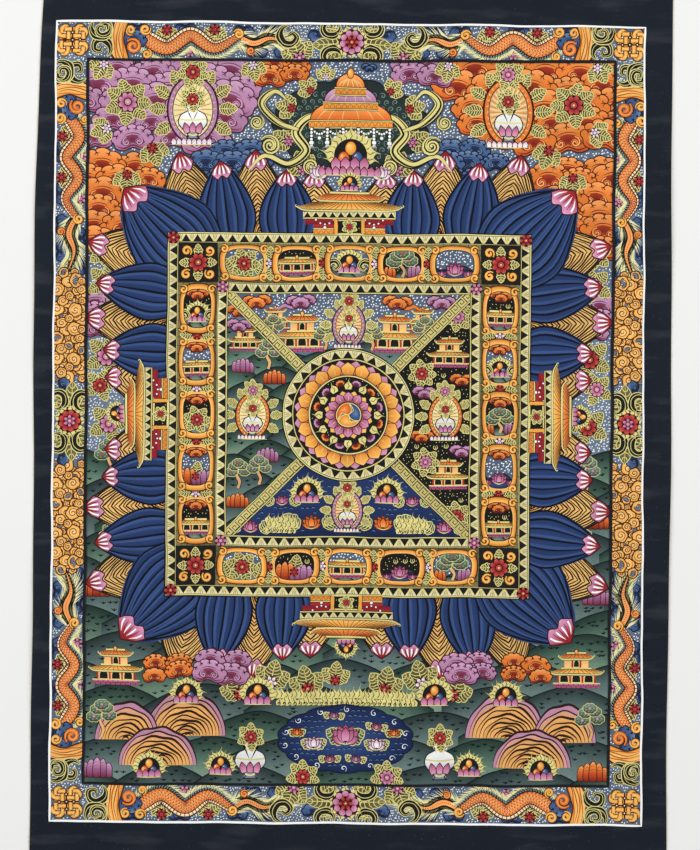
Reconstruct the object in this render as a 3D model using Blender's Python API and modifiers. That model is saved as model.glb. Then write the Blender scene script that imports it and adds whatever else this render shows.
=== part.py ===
"""A thangka painting on one piece of primed cotton canvas, lying flat on a surface.

The sheet has no rods, mount or lining: it is one cut of cloth, with the picture in the middle and
a dark primed margin round it. The margin is cut by hand, so no side is quite straight, and the left
margin narrows towards the top. The middle of the sheet lies flat. Its free edges rise a little, in
long low swells, because the canvas has been kept rolled.

Metres, +Z up, the picture's top towards +Y. The origin is under the middle of the sheet.
"""

import math
from collections import namedtuple

import bpy

SHEET = "painted_canvas"

# The painted field, inside the sheet.
PICTURE_WIDTH = 0.560
PICTURE_HEIGHT = 0.760

# The primed margin round it.
MARGIN_TOP = 0.030
MARGIN_BOTTOM = 0.038
MARGIN_RIGHT = 0.027
MARGIN_LEFT = 0.0195
LEFT_NARROWS_BY = 0.006
LEFT_NARROWS_OVER = 0.22

THICKNESS = 0.0012

# How far the hand cut wanders from a straight line on each side: amount, waves along the side, start.
Wander = namedtuple("Wander", "amount waves start")
WANDER = {
    "top": (Wander(0.0008, 1.3, 0.4), Wander(0.0004, 3.7, 1.9)),
    "bottom": (Wander(0.0010, 1.1, 2.6), Wander(0.0004, 4.3, 0.3)),
    "left": (Wander(0.0007, 1.7, 1.1), Wander(0.0003, 5.2, 2.2)),
    "right": (Wander(0.0009, 1.4, 3.5), Wander(0.0003, 4.6, 0.8)),
}

# A swell is a stretch of a free edge that stands off the surface: its middle and half length along
# that edge, its height there, and how far in from the edge it reaches. Between the swells, and at
# every corner, the edge lies on the surface.
Swell = namedtuple("Swell", "edge middle half_length height reach")
SWELLS = (
    Swell("top", -0.148, 0.125, 0.0034, 0.110),
    Swell("top", 0.146, 0.118, 0.0026, 0.100),
    Swell("bottom", -0.142, 0.120, 0.0024, 0.095),
    Swell("bottom", 0.150, 0.122, 0.0031, 0.105),
    Swell("left", 0.150, 0.160, 0.0012, 0.050),
    Swell("left", -0.205, 0.135, 0.0016, 0.055),
    Swell("right", 0.215, 0.130, 0.0015, 0.055),
    Swell("right", -0.090, 0.165, 0.0011, 0.045),
)

# The mesh: columns across, rows up, and how strongly both are packed towards the edges.
COLUMNS = 30
ROWS = 36
PACKING = 0.62

SHEET_COLOUR = (0.030, 0.033, 0.042, 1.0)
SHEET_ROUGHNESS = 0.72


def clear_scene():
    for old in list(bpy.data.objects):
        bpy.data.objects.remove(old)


def wander(side, share):
    """How far the cut lies outside its straight line, at this share of the side's length."""
    return sum(w.amount * math.sin(math.tau * w.waves * share + w.start) for w in WANDER[side])


def left_margin(y):
    """The left margin's width: full below, narrower towards the top corner."""
    top = PICTURE_HEIGHT / 2 + MARGIN_TOP
    share = min(max((y - top) / LEFT_NARROWS_OVER + 1, 0.0), 1.0)
    return MARGIN_LEFT - LEFT_NARROWS_BY * share * share


def on_sheet(across, up):
    """The place, seen from above and measured from the picture's middle, of a point of the sheet.

    across and up are shares of the sheet's width and height, from 0 to 1.
    """
    y_low = -PICTURE_HEIGHT / 2 - MARGIN_BOTTOM - wander("bottom", across)
    y_high = PICTURE_HEIGHT / 2 + MARGIN_TOP + wander("top", across)
    y = y_low + (y_high - y_low) * up
    x_low = -PICTURE_WIDTH / 2 - left_margin(y) - wander("left", up)
    x_high = PICTURE_WIDTH / 2 + MARGIN_RIGHT + wander("right", up)
    return x_low + (x_high - x_low) * across, y


def sheet_middle():
    """The middle of the sheet's outline, measured from the picture's middle."""
    steps = 400
    rim = [i / steps for i in range(steps + 1)]
    places = [on_sheet(s, end) for s in rim for end in (0, 1)]
    places += [on_sheet(end, s) for s in rim for end in (0, 1)]
    xs, ys = zip(*places)
    return (min(xs) + max(xs)) / 2, (min(ys) + max(ys)) / 2


def rise(x, y):
    """How far the sheet stands off the surface at a place measured from the picture's middle."""
    inward = {
        "top": (x, PICTURE_HEIGHT / 2 + MARGIN_TOP - y),
        "bottom": (x, PICTURE_HEIGHT / 2 + MARGIN_BOTTOM + y),
        "left": (y, PICTURE_WIDTH / 2 + MARGIN_LEFT + x),
        "right": (y, PICTURE_WIDTH / 2 + MARGIN_RIGHT - x),
    }
    height = 0.0
    for swell in SWELLS:
        along, depth = inward[swell.edge]
        aside = min(abs(along - swell.middle) / swell.half_length, 1.0)
        ramp = max(0.0, 1 - max(depth, 0.0) / swell.reach) ** 2
        height += swell.height * ramp * math.cos(math.pi / 2 * aside) ** 2
    return height


def packed(share):
    """A share from 0 to 1, moved towards the nearer end, so that rows and columns crowd at the edges."""
    return share - PACKING * math.sin(math.tau * share) / math.tau


def canvas_material():
    material = bpy.data.materials.new("primed_cotton")
    material.use_nodes = True
    shader = material.node_tree.nodes["Principled BSDF"]
    shader.inputs["Base Color"].default_value = SHEET_COLOUR
    shader.inputs["Roughness"].default_value = SHEET_ROUGHNESS
    shader.inputs["Metallic"].default_value = 0.0
    return material


def painted_canvas():
    """The sheet: a grid drawn out to the cut outline, raised at its swells, and given its thickness."""
    bpy.ops.mesh.primitive_grid_add(x_subdivisions=COLUMNS, y_subdivisions=ROWS, size=1.0)
    sheet = bpy.context.object
    sheet.name = SHEET
    middle_x, middle_y = sheet_middle()
    for vertex in sheet.data.vertices:
        across = packed(vertex.co.x + 0.5)
        up = packed(vertex.co.y + 0.5)
        x, y = on_sheet(across, up)
        vertex.co = (x - middle_x, y - middle_y, rise(x, y))
    sheet.data.materials.append(canvas_material())
    body = sheet.modifiers.new("thickness", "SOLIDIFY")
    body.thickness = THICKNESS
    body.offset = 1.0
    sheet.data.shade_smooth()
    return sheet


def main():
    clear_scene()
    thangka = bpy.data.collections.new("thangka")
    bpy.context.scene.collection.children.link(thangka)
    sheet = painted_canvas()
    for holder in list(sheet.users_collection):
        holder.objects.unlink(sheet)
    thangka.objects.link(sheet)


main()
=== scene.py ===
"""Looks for the painted thangka canvas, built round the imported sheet.

One cut of primed cotton lies flat, face up. Its picture is built up in a painter's order: grounds
first, then body colours shaded from light to deep, then dark outlines, then gold and white. Each
patch or pull of the brush is a thin skin of paint of its own, a hair above what it covers.

Drawing sizes are millimetres from the picture's middle: u to its right, v to its top.
"""

import math
from collections import namedtuple
from contextlib import contextmanager
from functools import lru_cache

import bpy
import numpy as np
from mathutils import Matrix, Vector


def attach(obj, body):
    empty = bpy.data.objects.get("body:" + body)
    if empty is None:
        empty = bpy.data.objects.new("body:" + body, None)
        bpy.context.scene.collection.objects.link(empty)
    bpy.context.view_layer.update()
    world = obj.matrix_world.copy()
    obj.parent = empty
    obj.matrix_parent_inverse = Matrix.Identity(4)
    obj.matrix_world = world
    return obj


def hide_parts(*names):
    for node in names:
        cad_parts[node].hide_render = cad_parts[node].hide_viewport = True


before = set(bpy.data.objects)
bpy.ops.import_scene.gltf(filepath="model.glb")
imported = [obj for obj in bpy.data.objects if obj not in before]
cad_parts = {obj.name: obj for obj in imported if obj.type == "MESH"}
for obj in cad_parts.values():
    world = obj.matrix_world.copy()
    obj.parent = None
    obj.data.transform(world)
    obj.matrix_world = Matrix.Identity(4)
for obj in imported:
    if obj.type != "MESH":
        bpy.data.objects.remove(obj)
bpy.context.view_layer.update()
hand = np.random.default_rng(1108)

# The sheet, as in the part's source, in metres.
PICTURE_WIDTH = 0.560
PICTURE_HEIGHT = 0.760
MARGIN_TOP = 0.030
MARGIN_BOTTOM = 0.038
MARGIN_RIGHT = 0.027
MARGIN_LEFT = 0.0195
LEFT_NARROWS_BY = 0.006
LEFT_NARROWS_OVER = 0.22
THICKNESS = 0.0012
Wander = namedtuple("Wander", "amount waves start")
WANDER = {
    "top": (Wander(0.0008, 1.3, 0.4), Wander(0.0004, 3.7, 1.9)),
    "bottom": (Wander(0.0010, 1.1, 2.6), Wander(0.0004, 4.3, 0.3)),
    "left": (Wander(0.0007, 1.7, 1.1), Wander(0.0003, 5.2, 2.2)),
    "right": (Wander(0.0009, 1.4, 3.5), Wander(0.0003, 4.6, 0.8)),
}
Swell = namedtuple("Swell", "edge middle half_length height reach")
SWELLS = (
    Swell("top", -0.148, 0.125, 0.0034, 0.110),
    Swell("top", 0.146, 0.118, 0.0026, 0.100),
    Swell("bottom", -0.142, 0.120, 0.0024, 0.095),
    Swell("bottom", 0.150, 0.122, 0.0031, 0.105),
    Swell("left", 0.150, 0.160, 0.0012, 0.050),
    Swell("left", -0.205, 0.135, 0.0016, 0.055),
    Swell("right", 0.215, 0.130, 0.0015, 0.055),
    Swell("right", -0.090, 0.165, 0.0011, 0.045),
)


def wander(side, share):
    return sum(w.amount * np.sin(math.tau * w.waves * share + w.start) for w in WANDER[side])


def left_margin(y):
    top = PICTURE_HEIGHT / 2 + MARGIN_TOP
    share = np.clip((y - top) / LEFT_NARROWS_OVER + 1, 0.0, 1.0)
    return MARGIN_LEFT - LEFT_NARROWS_BY * share * share


def on_sheet(across, up):
    """Points of the sheet, seen from above and measured from the picture's middle, in metres."""
    y_low = -PICTURE_HEIGHT / 2 - MARGIN_BOTTOM - wander("bottom", across)
    y_high = PICTURE_HEIGHT / 2 + MARGIN_TOP + wander("top", across)
    y = y_low + (y_high - y_low) * up
    x_low = -PICTURE_WIDTH / 2 - left_margin(y) - wander("left", up)
    x_high = PICTURE_WIDTH / 2 + MARGIN_RIGHT + wander("right", up)
    return x_low + (x_high - x_low) * across, y


def sheet_middle():
    rim = np.linspace(0.0, 1.0, 401)
    ends = [on_sheet(rim, np.full_like(rim, e)) for e in (0.0, 1.0)]
    ends += [on_sheet(np.full_like(rim, e), rim) for e in (0.0, 1.0)]
    xs = np.concatenate([x for x, _ in ends])
    ys = np.concatenate([y for _, y in ends])
    return (xs.min() + xs.max()) / 2, (ys.min() + ys.max()) / 2


def rise(x, y):
    """How far the sheet stands off the surface, at places measured from the picture's middle."""
    inward = {
        "top": (x, PICTURE_HEIGHT / 2 + MARGIN_TOP - y),
        "bottom": (x, PICTURE_HEIGHT / 2 + MARGIN_BOTTOM + y),
        "left": (y, PICTURE_WIDTH / 2 + MARGIN_LEFT + x),
        "right": (y, PICTURE_WIDTH / 2 + MARGIN_RIGHT - x),
    }
    height = np.zeros_like(x)
    for swell in SWELLS:
        along, depth = inward[swell.edge]
        aside = np.minimum(np.abs(along - swell.middle) / swell.half_length, 1.0)
        ramp = np.maximum(0.0, 1 - np.maximum(depth, 0.0) / swell.reach) ** 2
        height += swell.height * ramp * np.cos(math.pi / 2 * aside) ** 2
    return height


MIDDLE = sheet_middle()


# ---------------------------------------------------------------- colours

def paint_colour(red, green, blue):
    """A colour given as it looks, 0 to 255, turned into the amounts of light that Blender mixes."""
    c = np.array([red, green, blue]) / 255
    return np.where(c <= 0.04045, c / 12.92, ((c + 0.055) / 1.055) ** 2.4)


def mixed(a, b, share):
    return a + (b - a) * share


# A set of body colours for one motif: its light, body, deep and core shades, and its outline.
Hue = namedtuple("Hue", "light body deep core line")


def hue(light, body, deep, core, line):
    return Hue(*(paint_colour(*c) for c in (light, body, deep, core, line)))


INK = paint_colour(25, 24, 27)
BLACK = paint_colour(24, 25, 24)
MARGIN_BLACK = paint_colour(23, 29, 39)
SLATE = paint_colour(82, 97, 118)
SLATE_PALE = paint_colour(104, 119, 138)
SPECKLE = paint_colour(251, 252, 252)
WHITE = paint_colour(252, 252, 249)
GOLD = paint_colour(226, 214, 134)
GOLD_PALE = paint_colour(238, 230, 168)
OLIVE = paint_colour(120, 112, 66)
OLIVE_DEEP = paint_colour(66, 64, 42)
TAN = paint_colour(222, 172, 116)

MAUVE = hue((204, 158, 190), (182, 131, 166), (146, 84, 122), (112, 34, 56), (58, 20, 42))
ORANGE = hue((246, 162, 92), (224, 122, 50), (188, 72, 36), (120, 32, 24), (62, 20, 14))
GOLDEN = hue((250, 198, 118), (240, 168, 72), (214, 124, 48), (166, 78, 36), (66, 34, 18))
CLOUD_BLUE = hue((108, 134, 172), (66, 92, 136), (40, 60, 100), (24, 36, 66), (12, 16, 32))
CRIMSON = hue((206, 92, 76), (168, 44, 46), (124, 26, 38), (78, 14, 26), (44, 10, 18))
PINK = hue((218, 160, 186), (196, 118, 154), (158, 66, 100), (116, 30, 52), (58, 18, 34))
PALE = hue((250, 242, 244), (234, 216, 226), (206, 160, 184), (150, 84, 112), (60, 24, 40))
GREEN = hue((116, 138, 132), (88, 108, 106), (56, 73, 72), (34, 44, 44), (16, 22, 22))
JADE = hue((124, 150, 128), (82, 110, 96), (50, 73, 63), (30, 46, 42), (16, 24, 22))
NAVY = hue((58, 83, 132), (38, 58, 102), (24, 37, 74), (14, 23, 48), (9, 11, 22))
MOSS = hue((168, 156, 104), (128, 120, 76), (92, 86, 56), (64, 60, 40), (32, 30, 22))
STRIPED = hue((238, 196, 120), (224, 168, 96), (176, 118, 62), (96, 58, 30), (34, 24, 16))
CREAM = hue((250, 246, 222), (236, 226, 176), (206, 192, 120), (150, 134, 74), (36, 32, 24))
PORCELAIN = hue((250, 250, 246), (230, 231, 228), (176, 182, 194), (112, 120, 140), (30, 34, 48))
LILY_LEAF = (JADE.core, JADE.body)


# ---------------------------------------------------------------- the painter's kit

# Each paint becomes one piece of the model. Every skin of paint keeps its own coat, a step above the
# highest coat that it covers.
PAINTS = ("ground_colours", "cloud_colours", "flower_colours", "body_colours", "border_colours", "ink_lines",
          "fine_lines", "gold_lines", "white_touches")
# How far a coat stands above the one it covers, in millimetres: the first coats, and the later ones.
COAT_STEP = 0.009
LATER_COAT_STEP = 0.003
FIRST_COATS = 100
PRIMING = 0.02
# A stroke wider than this many millimetres gets this many rows of points across.
BROAD = 4.0
ACROSS = 5
# How much a skin's colour strays, and how much a stroke's width wavers, as shares of either.
STRAY = 0.05
WAVER = 0.10
# The grid of cells that keeps the highest coat: a cell's side and the grid's half sides, in millimetres.
CELL = 0.5
HALF_U, HALF_V = 290.0, 390.0
# What kind of ground the highest coat is.
OTHER, SKY, HILL, WATER, NIGHT, BORDER = range(6)

coats = np.zeros((int(2 * HALF_V / CELL), int(2 * HALF_U / CELL)), np.int16)
top_kind = np.zeros(coats.shape, np.uint8)
skins = {paint: [] for paint in PAINTS}
limits = []
held_back = []


class Place:
    """Where a motif sits: its middle, its turn in degrees, its size, and whether it is mirrored."""

    def __init__(self, u=0.0, v=0.0, turn=0.0, size=1.0, flip=False, within=None):
        c, s = math.cos(math.radians(turn)), math.sin(math.radians(turn))
        self.matrix = np.array([[c, -s], [s, c]]) @ np.diag([-size if flip else size, size])
        self.middle = np.array([u, v], float)
        self.scale = size
        if within is not None:
            self.middle = within.of(self.middle)
            self.matrix = within.matrix @ self.matrix
            self.scale = size * within.scale

    def of(self, points):
        return np.asarray(points, float) @ self.matrix.T + self.middle

    def back(self, points):
        return (points - self.middle) @ np.linalg.inv(self.matrix).T

    def at(self, u=0.0, v=0.0, turn=0.0, size=1.0, flip=False):
        return Place(u, v, turn, size, flip, within=self)

    def upright(self, u=0.0, v=0.0):
        """The same spot, but turned as the picture is."""
        return Place(*self.of((u, v)))


class Round:
    """A track round a circle: x runs along it from the right, anticlockwise, and y outwards."""

    def __init__(self, place, radius):
        self.place = place
        self.radius = radius

    def of(self, points):
        p = np.asarray(points, float)
        angle = p[..., 0] / self.radius
        reach = self.radius + p[..., 1]
        return self.place.of(np.stack([np.cos(angle) * reach, np.sin(angle) * reach], axis=-1))


@contextmanager
def kept_inside(*rules):
    """Holds all paint laid meanwhile inside some limits."""
    limits.extend(rules)
    yield
    del limits[len(limits) - len(rules):]


@contextmanager
def one_coat():
    """Paint laid meanwhile is one coat: its skins don't climb on each other."""
    held_back.append([])
    yield
    batch = held_back.pop()
    levels = [coats[cells].max() + 1 for _, _, _, _, cells, _ in batch]
    for skin, level in zip(batch, levels):
        settle(*skin, level)


def side_of(point, normal):
    """The limit that keeps paint on the near side of the line through point."""
    point = np.array(point, float)
    normal = np.array(normal, float) / np.hypot(*normal)

    def keep(points):
        over = np.maximum((points - point) @ normal, 0.0)
        return points - over[:, None] * normal

    return keep


def outside(place, height):
    """Holds all paint laid meanwhile above a height in that place's own frame."""
    return kept_inside(side_of(place.of((0, height)), place.of((0, 0)) - place.of((0, 1))))


def oval_of(place, half_width, half_height, squareness):
    def keep(points):
        p = place.back(points)
        reach = (np.abs(p[:, 0] / half_width) ** squareness
                 + np.abs(p[:, 1] / half_height) ** squareness) ** (1 / squareness)
        return place.of(p / np.maximum(reach, 1.0)[:, None])

    return keep


def covered(edge):
    """The cells that a shape with this outline covers, those on its rim among them."""
    x = (edge[:, 0] + HALF_U) / CELL
    y = (edge[:, 1] + HALF_V) / CELL
    low_row, low_col = int(y.min()), int(x.min())
    shape = (int(y.max()) - low_row + 2, int(x.max()) - low_col + 2)
    rows = np.arange(low_row, low_row + shape[0]) + 0.5
    x_next, y_next = np.roll(x, -1), np.roll(y, -1)
    crossed = (rows[:, None] >= np.minimum(y, y_next)) & (rows[:, None] < np.maximum(y, y_next))
    row, side = np.nonzero(crossed)
    slope = (x_next - x)[side] / (y_next - y)[side]
    col = np.ceil(x[side] + (rows[row] - y[side]) * slope - 0.5).astype(int) - low_col
    toggles = np.zeros(shape, np.int32)
    np.add.at(toggles, (row, np.clip(col, 0, shape[1] - 1)), 1)
    inside = np.cumsum(toggles, axis=1) % 2
    inside[y.astype(int) - low_row, x.astype(int) - low_col] = 1
    row, col = np.nonzero(inside)
    return row + low_row, col + low_col


def settle(paint, points, faces, colours, cells, kind, level):
    coats[cells] = level
    top_kind[cells] = kind
    skins[paint].append((points, faces, colours, level))


def lay(paint, points, faces, colours, rim, kind=OTHER):
    """Lays one skin of paint: its points, triangles and colours, and the numbers of its rim's points."""
    for keep in limits:
        points = keep(points)
    cells = covered(points[rim])
    colours = np.broadcast_to(colours, (len(points), 3)) * (1 + STRAY * hand.standard_normal())
    if held_back:
        held_back[-1].append((paint, points, faces, colours, cells, kind))
    else:
        settle(paint, points, faces, colours, cells, kind, coats[cells].max() + 1)


# ---------------------------------------------------------------- lines and outlines

def bend(points, step, closed=False):
    """A smooth line through the points, with a point at least every step millimetres."""
    p = np.asarray(points, float)
    if closed:
        p = np.vstack([p[-1:], p, p[:2]])
    else:
        p = np.vstack([2 * p[0] - p[1], p, 2 * p[-1] - p[-2]])
    a, b, c, d = p[:-3], p[1:-2], p[2:-1], p[3:]
    longest = np.hypot(*(c - b).T).max()
    t = np.linspace(0, 1, max(1, math.ceil(longest / step)), endpoint=False)[None, :, None]
    a, b, c, d = (q[:, None, :] for q in (a, b, c, d))
    line = 0.5 * (2 * b + (c - a) * t + (2 * a - 5 * b + 4 * c - d) * t ** 2
                  + (3 * b - a - 3 * c + d) * t ** 3)
    line = line.reshape(-1, 2)
    return line if closed else np.vstack([line, p[-2]])


def straight(start, end, step=4.0):
    start, end = np.array(start, float), np.array(end, float)
    count = max(2, math.ceil(np.hypot(*(end - start)) / step) + 1)
    return start + (end - start) * np.linspace(0, 1, count)[:, None]


def straights(*corners, closed=False, step=4.0):
    """Straight lines from corner to corner."""
    ring = list(corners) + ([corners[0]] if closed else [])
    parts = [straight(a, b, step)[:-1] for a, b in zip(ring, ring[1:])]
    return np.vstack(parts if closed else parts + [[ring[-1]]])


def arc(radius, start, end, middle=(0.0, 0.0), squash=1.0, step=1.5):
    """An arc from one angle to another, in degrees."""
    count = max(4, math.ceil(abs(math.radians(end - start)) * radius / step) + 1)
    a = np.radians(np.linspace(start, end, count))
    return np.column_stack([np.cos(a) * radius, np.sin(a) * radius * squash]) + middle


def oval(width, height, middle=(0.0, 0.0), count=20):
    a = np.linspace(0, math.tau, count, endpoint=False)
    return np.column_stack([np.cos(a) * width / 2, np.sin(a) * height / 2]) + middle


def spiral(radius, start, turns, middle=(0.0, 0.0), inner=0.12):
    """A curl that winds in from its radius, starting at an angle in degrees."""
    count = max(6, int(abs(turns) * 12))
    s = np.linspace(0, 1, count)
    a = math.radians(start) + math.tau * turns * s
    reach = radius * (1 - (1 - inner) * s ** 0.85)
    return np.column_stack([np.cos(a) * reach, np.sin(a) * reach]) + middle


def lobes(width, height, count, start, end, depth, middle=(0.0, 0.0), *, each):
    """A scalloped line: lobes along an oval's rim, from one angle to another, in degrees."""
    s = np.linspace(0, count, count * each + 1)
    a = np.radians(start + (end - start) * s / count)
    reach = 1 + depth * np.abs(np.sin(math.pi * s)) ** 0.7
    return np.column_stack([np.cos(a) * width / 2, np.sin(a) * height / 2]) * reach[:, None] + middle


def beside(line):
    """The way a line runs at each of its points, and the way to its left."""
    run = np.gradient(line, axis=0)
    run /= np.hypot(*run.T)[:, None]
    return run, np.column_stack([-run[:, 1], run[:, 0]])


# ---------------------------------------------------------------- brushes

@lru_cache(maxsize=None)
def strip_faces(count, closed):
    i = np.arange(count if closed else count - 1)
    j = (i + 1) % count
    return np.vstack([np.column_stack([i, count + i, count + j]), np.column_stack([i, count + j, j])])


@lru_cache(maxsize=None)
def ring_faces(count, rings):
    i = np.arange(count)
    j = (i + 1) % count
    faces = [np.column_stack([np.zeros(count, int), 1 + i, 1 + j])]
    for k in range(1, rings):
        inner, outer = 1 + (k - 1) * count, 1 + k * count
        faces.append(np.column_stack([inner + i, outer + i, outer + j]))
        faces.append(np.column_stack([inner + i, outer + j, inner + j]))
    return np.vstack(faces)


@lru_cache(maxsize=None)
def grid_faces(rows, cols):
    r, c = np.meshgrid(np.arange(rows - 1), np.arange(cols - 1), indexing="ij")
    a = (r * cols + c).ravel()
    b = a + 1
    return np.vstack([np.column_stack([a, b, b + cols]), np.column_stack([a, b + cols, a + cols])])


@lru_cache(maxsize=None)
def grid_rim(rows, cols):
    ids = np.arange(rows * cols).reshape(rows, cols)
    return np.concatenate([ids[0, :-1], ids[:-1, -1], ids[-1, :0:-1], ids[:0:-1, 0]])


def stroke(paint, place, points, width, colour, tips=(0.25, 0.1), closed=False):
    """One pull of the brush along a line. It is width wide, and thins to a share of that at its tips."""
    line = place.of(points)
    if closed:
        run = np.roll(line, -1, 0) - np.roll(line, 1, 0)
    else:
        run = np.gradient(line, axis=0)
    run /= np.maximum(np.hypot(run[:, 0], run[:, 1]), 1e-9)[:, None]
    s = np.linspace(0, 1, len(line))
    press = np.ones(len(line))
    if not closed:
        press = np.minimum(tips[0] + (1 - tips[0]) * s / 0.3, tips[1] + (1 - tips[1]) * (1 - s) / 0.45)
        press = np.minimum(press, 1.0)
    press = press * (1 + WAVER * np.sin(s * 9 + hand.uniform(0, 6)))
    side = np.column_stack([-run[:, 1], run[:, 0]]) * (width / 2 * press)[:, None]
    count = len(line)
    if width > BROAD and not closed:
        grid = line[None] + side[None] * np.linspace(-1, 1, ACROSS)[:, None, None]
        lay(paint, grid.reshape(-1, 2), grid_faces(ACROSS, count), colour, grid_rim(ACROSS, count))
        return
    rim = np.concatenate([np.arange(count), np.arange(2 * count - 1, count - 1, -1)])
    lay(paint, np.vstack([line + side, line - side]), strip_faces(count, closed), colour, rim)


def shaded(shares, colours):
    """Colours at shares of the way through a row of colours."""
    stops = np.linspace(0, 1, len(colours)) if len(colours) > 1 else np.array([0.0])
    return np.column_stack([np.interp(shares, stops, [c[k] for c in colours]) for k in range(3)])


def fill(paint, place, outline, colours, middle=None, tone=None, kind=OTHER, rings=None):
    """A patch of paint inside an outline that its middle can see all of.

    colours run from the middle to the rim. tone, where given, works them out from the places instead.
    """
    outline = np.asarray(outline, float)
    middle = outline.mean(axis=0) if middle is None else np.asarray(middle, float)
    if rings is None:
        size = np.abs(place.of(outline) - place.of(middle)).max()
        stages = len(colours) - 1 if tone is None else 1 + (size > 9)
        rings = max(1, stages, math.ceil(size / 18))
    shares = (np.arange(1, rings + 1) / rings)
    spread = outline - middle
    points = np.vstack([middle[None]] + [middle + spread * s for s in shares])
    if tone is not None:
        shade = tone(points)
    else:
        along = np.concatenate([[0.0], np.repeat(shares, len(outline))])
        shade = shaded(along, colours)
    last = 1 + (rings - 1) * len(outline)
    rim = np.arange(last, last + len(outline))
    lay(paint, place.of(points), ring_faces(len(outline), rings), shade, rim, kind)


def wash(paint, place, grid, colours, kind=OTHER):
    """A patch of paint over a grid of points, rows from its first edge to its last, shaded by row."""
    grid = np.asarray(grid, float)
    rows, cols = grid.shape[:2]
    shade = np.repeat(shaded(np.linspace(0, 1, rows), colours), cols, axis=0)
    lay(paint, place.of(grid.reshape(-1, 2)), grid_faces(rows, cols), shade, grid_rim(rows, cols), kind)


def between(first, last, rows=2, ease=1.0):
    """A grid between two lines of as many points."""
    shares = (np.linspace(0, 1, rows) ** ease)[:, None, None]
    return first[None] + (last - first)[None] * shares


def by_height(low, high, *colours):
    """A tone that runs through the colours from one height of the motif to another."""
    return lambda points: shaded(np.clip((points[:, 1] - low) / (high - low), 0, 1), colours)


def outlined(place, points, width, colour, line, edge, tips, paint="body_colours"):
    """A ribbon of body colour with a dark outline: the dark pull first, the colour over it."""
    stroke("ink_lines", place, points, width + 2 * edge, line, tips)
    stroke(paint, place, points, width, colour, tips)


def outline(place, points, width, colour, paint="ink_lines"):
    stroke(paint, place, points, width, colour, closed=True)


# ---------------------------------------------------------------- leaves and flowers

def leaf(place, length, width, flesh=(BLACK, OLIVE)):
    """A lobed leaf, its stalk at the place's middle and its tip above, veined in gold."""
    s = np.linspace(0, 1, 13)
    half = width / 2 * np.sin(math.pi * s ** 0.8) ** 0.75 * (1 + 0.25 * np.abs(np.sin(3 * math.pi * s)))
    half[0] = half[-1] = 0.0
    edge = np.vstack([np.column_stack([half, s * length]),
                      np.column_stack([-half, s * length])[-2:0:-1]])
    fill("flower_colours", place, edge, None, (0, length * 0.45), by_height(0, length, *flesh))
    outline(place, edge, 0.8, GOLD, "gold_lines")
    with one_coat():
        stroke("gold_lines", place, straight((0, 0), (0, length * 0.95), 9), 0.9, GOLD, (1, 0.4))
        for y in np.arange(0.14, 0.84, max(0.13, 2.2 / length)):
            reach = np.interp(y + 0.10, s, half) * 0.9
            for side in (-1, 1):
                vein = np.array([(0, y * length), (side * reach * 0.55, (y + 0.03) * length),
                                 (side * reach, (y + 0.12) * length)])
                stroke("gold_lines", place, vein, 0.85, GOLD, (0.9, 0.5))


def peony(place, radius, shades, petals=8):
    """A round flower: a ring of petals, shaded inwards, about a ringed heart."""
    fill("ink_lines", place, lobes(2.05 * radius, 2.05 * radius, petals, 0, 360, 0.10, each=3)[:-1],
         [shades.line])
    with one_coat():
        for k in range(petals):
            petal = place.at(turn=360 * (k + 0.5) / petals)
            edge = oval(0.56 * radius, 0.66 * radius, (0, 0.70 * radius), 9)
            fill("flower_colours", petal, edge, None, (0, 0.80 * radius),
                 by_height(0.38 * radius, 1.0 * radius, shades.deep, shades.body, shades.light))
    fill("ink_lines", place, oval(0.90 * radius, 0.90 * radius, count=10), [shades.line])
    fill("flower_colours", place, oval(0.66 * radius, 0.66 * radius, count=10),
         [shades.core, shades.body, shades.light])
    if radius > 5:
        fill("gold_lines", place, oval(0.26 * radius, 0.26 * radius, count=8), [GOLD])


def spray(place, radius, shades, leaves, start=0.0):
    """A peony with leaves round it."""
    for k in range(leaves):
        turn = start + 360 * k / leaves + 8 * math.sin(5 * k)
        leaf(place.at(turn=turn).at(0, 0.55 * radius), 1.95 * radius, 1.3 * radius)
    peony(place, radius, shades)


def leaf_fan(place, length, leaves, shades=CRIMSON):
    """Leaves spread from one stalk, with a flower at its foot."""
    foot = place.at(0, -0.42 * length)
    for k in sorted(range(leaves), key=lambda k: -abs(k - (leaves - 1) / 2)):
        turn = 50 * (k - (leaves - 1) / 2)
        leaf(foot.at(turn=turn), length * (1 - 0.12 * abs(k - (leaves - 1) / 2)), 0.60 * length)
    peony(foot.at(0, 0.06 * length), 0.24 * length, shades, 6)


def curl_leaf(place, length=18.0):
    """A dark leaf that rolls over into a curl, lined in gold along its length."""
    line = bend(np.array([(0, 0), (-0.26, 0.24), (-0.26, 0.60), (0.04, 0.88), (0.40, 0.82), (0.52, 0.50),
                          (0.28, 0.34), (0.12, 0.50)]) * length, 1.6)
    _, out = beside(line)
    s = np.linspace(0, 1, len(line))
    half = np.interp(s, (0, 0.30, 0.60, 1), (0.03, 0.18, 0.15, 0.06))[:, None] * length
    notched = half * (1 + 0.20 * np.abs(np.sin(5 * math.pi * s)))[:, None]
    wash("ink_lines", place, between(line + out * notched, line - out * half), [BLACK, BLACK])
    with one_coat():
        for reach, share, width in ((notched, 1.0, 0.85), (half, 0.30, 0.6), (half, -1.0, 0.85)):
            stroke("gold_lines", place, line + out * reach * share, width, GOLD, (0.6, 0.6))


def petal_edge(length, width, waist=0.8, tip=0.16):
    """A lotus petal's outline, from its base on the right, over its tip, to its base on the left."""
    points = [(0.36 * width, 0), (0.50 * width * waist / 0.8, 0.34 * length), (0.44 * width, 0.62 * length),
              (tip * width, 0.88 * length), (0, length)]
    half = bend(points, max(length / 9, 3.0))
    return np.vstack([half, (half * (-1, 1))[-2::-1]])


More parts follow.
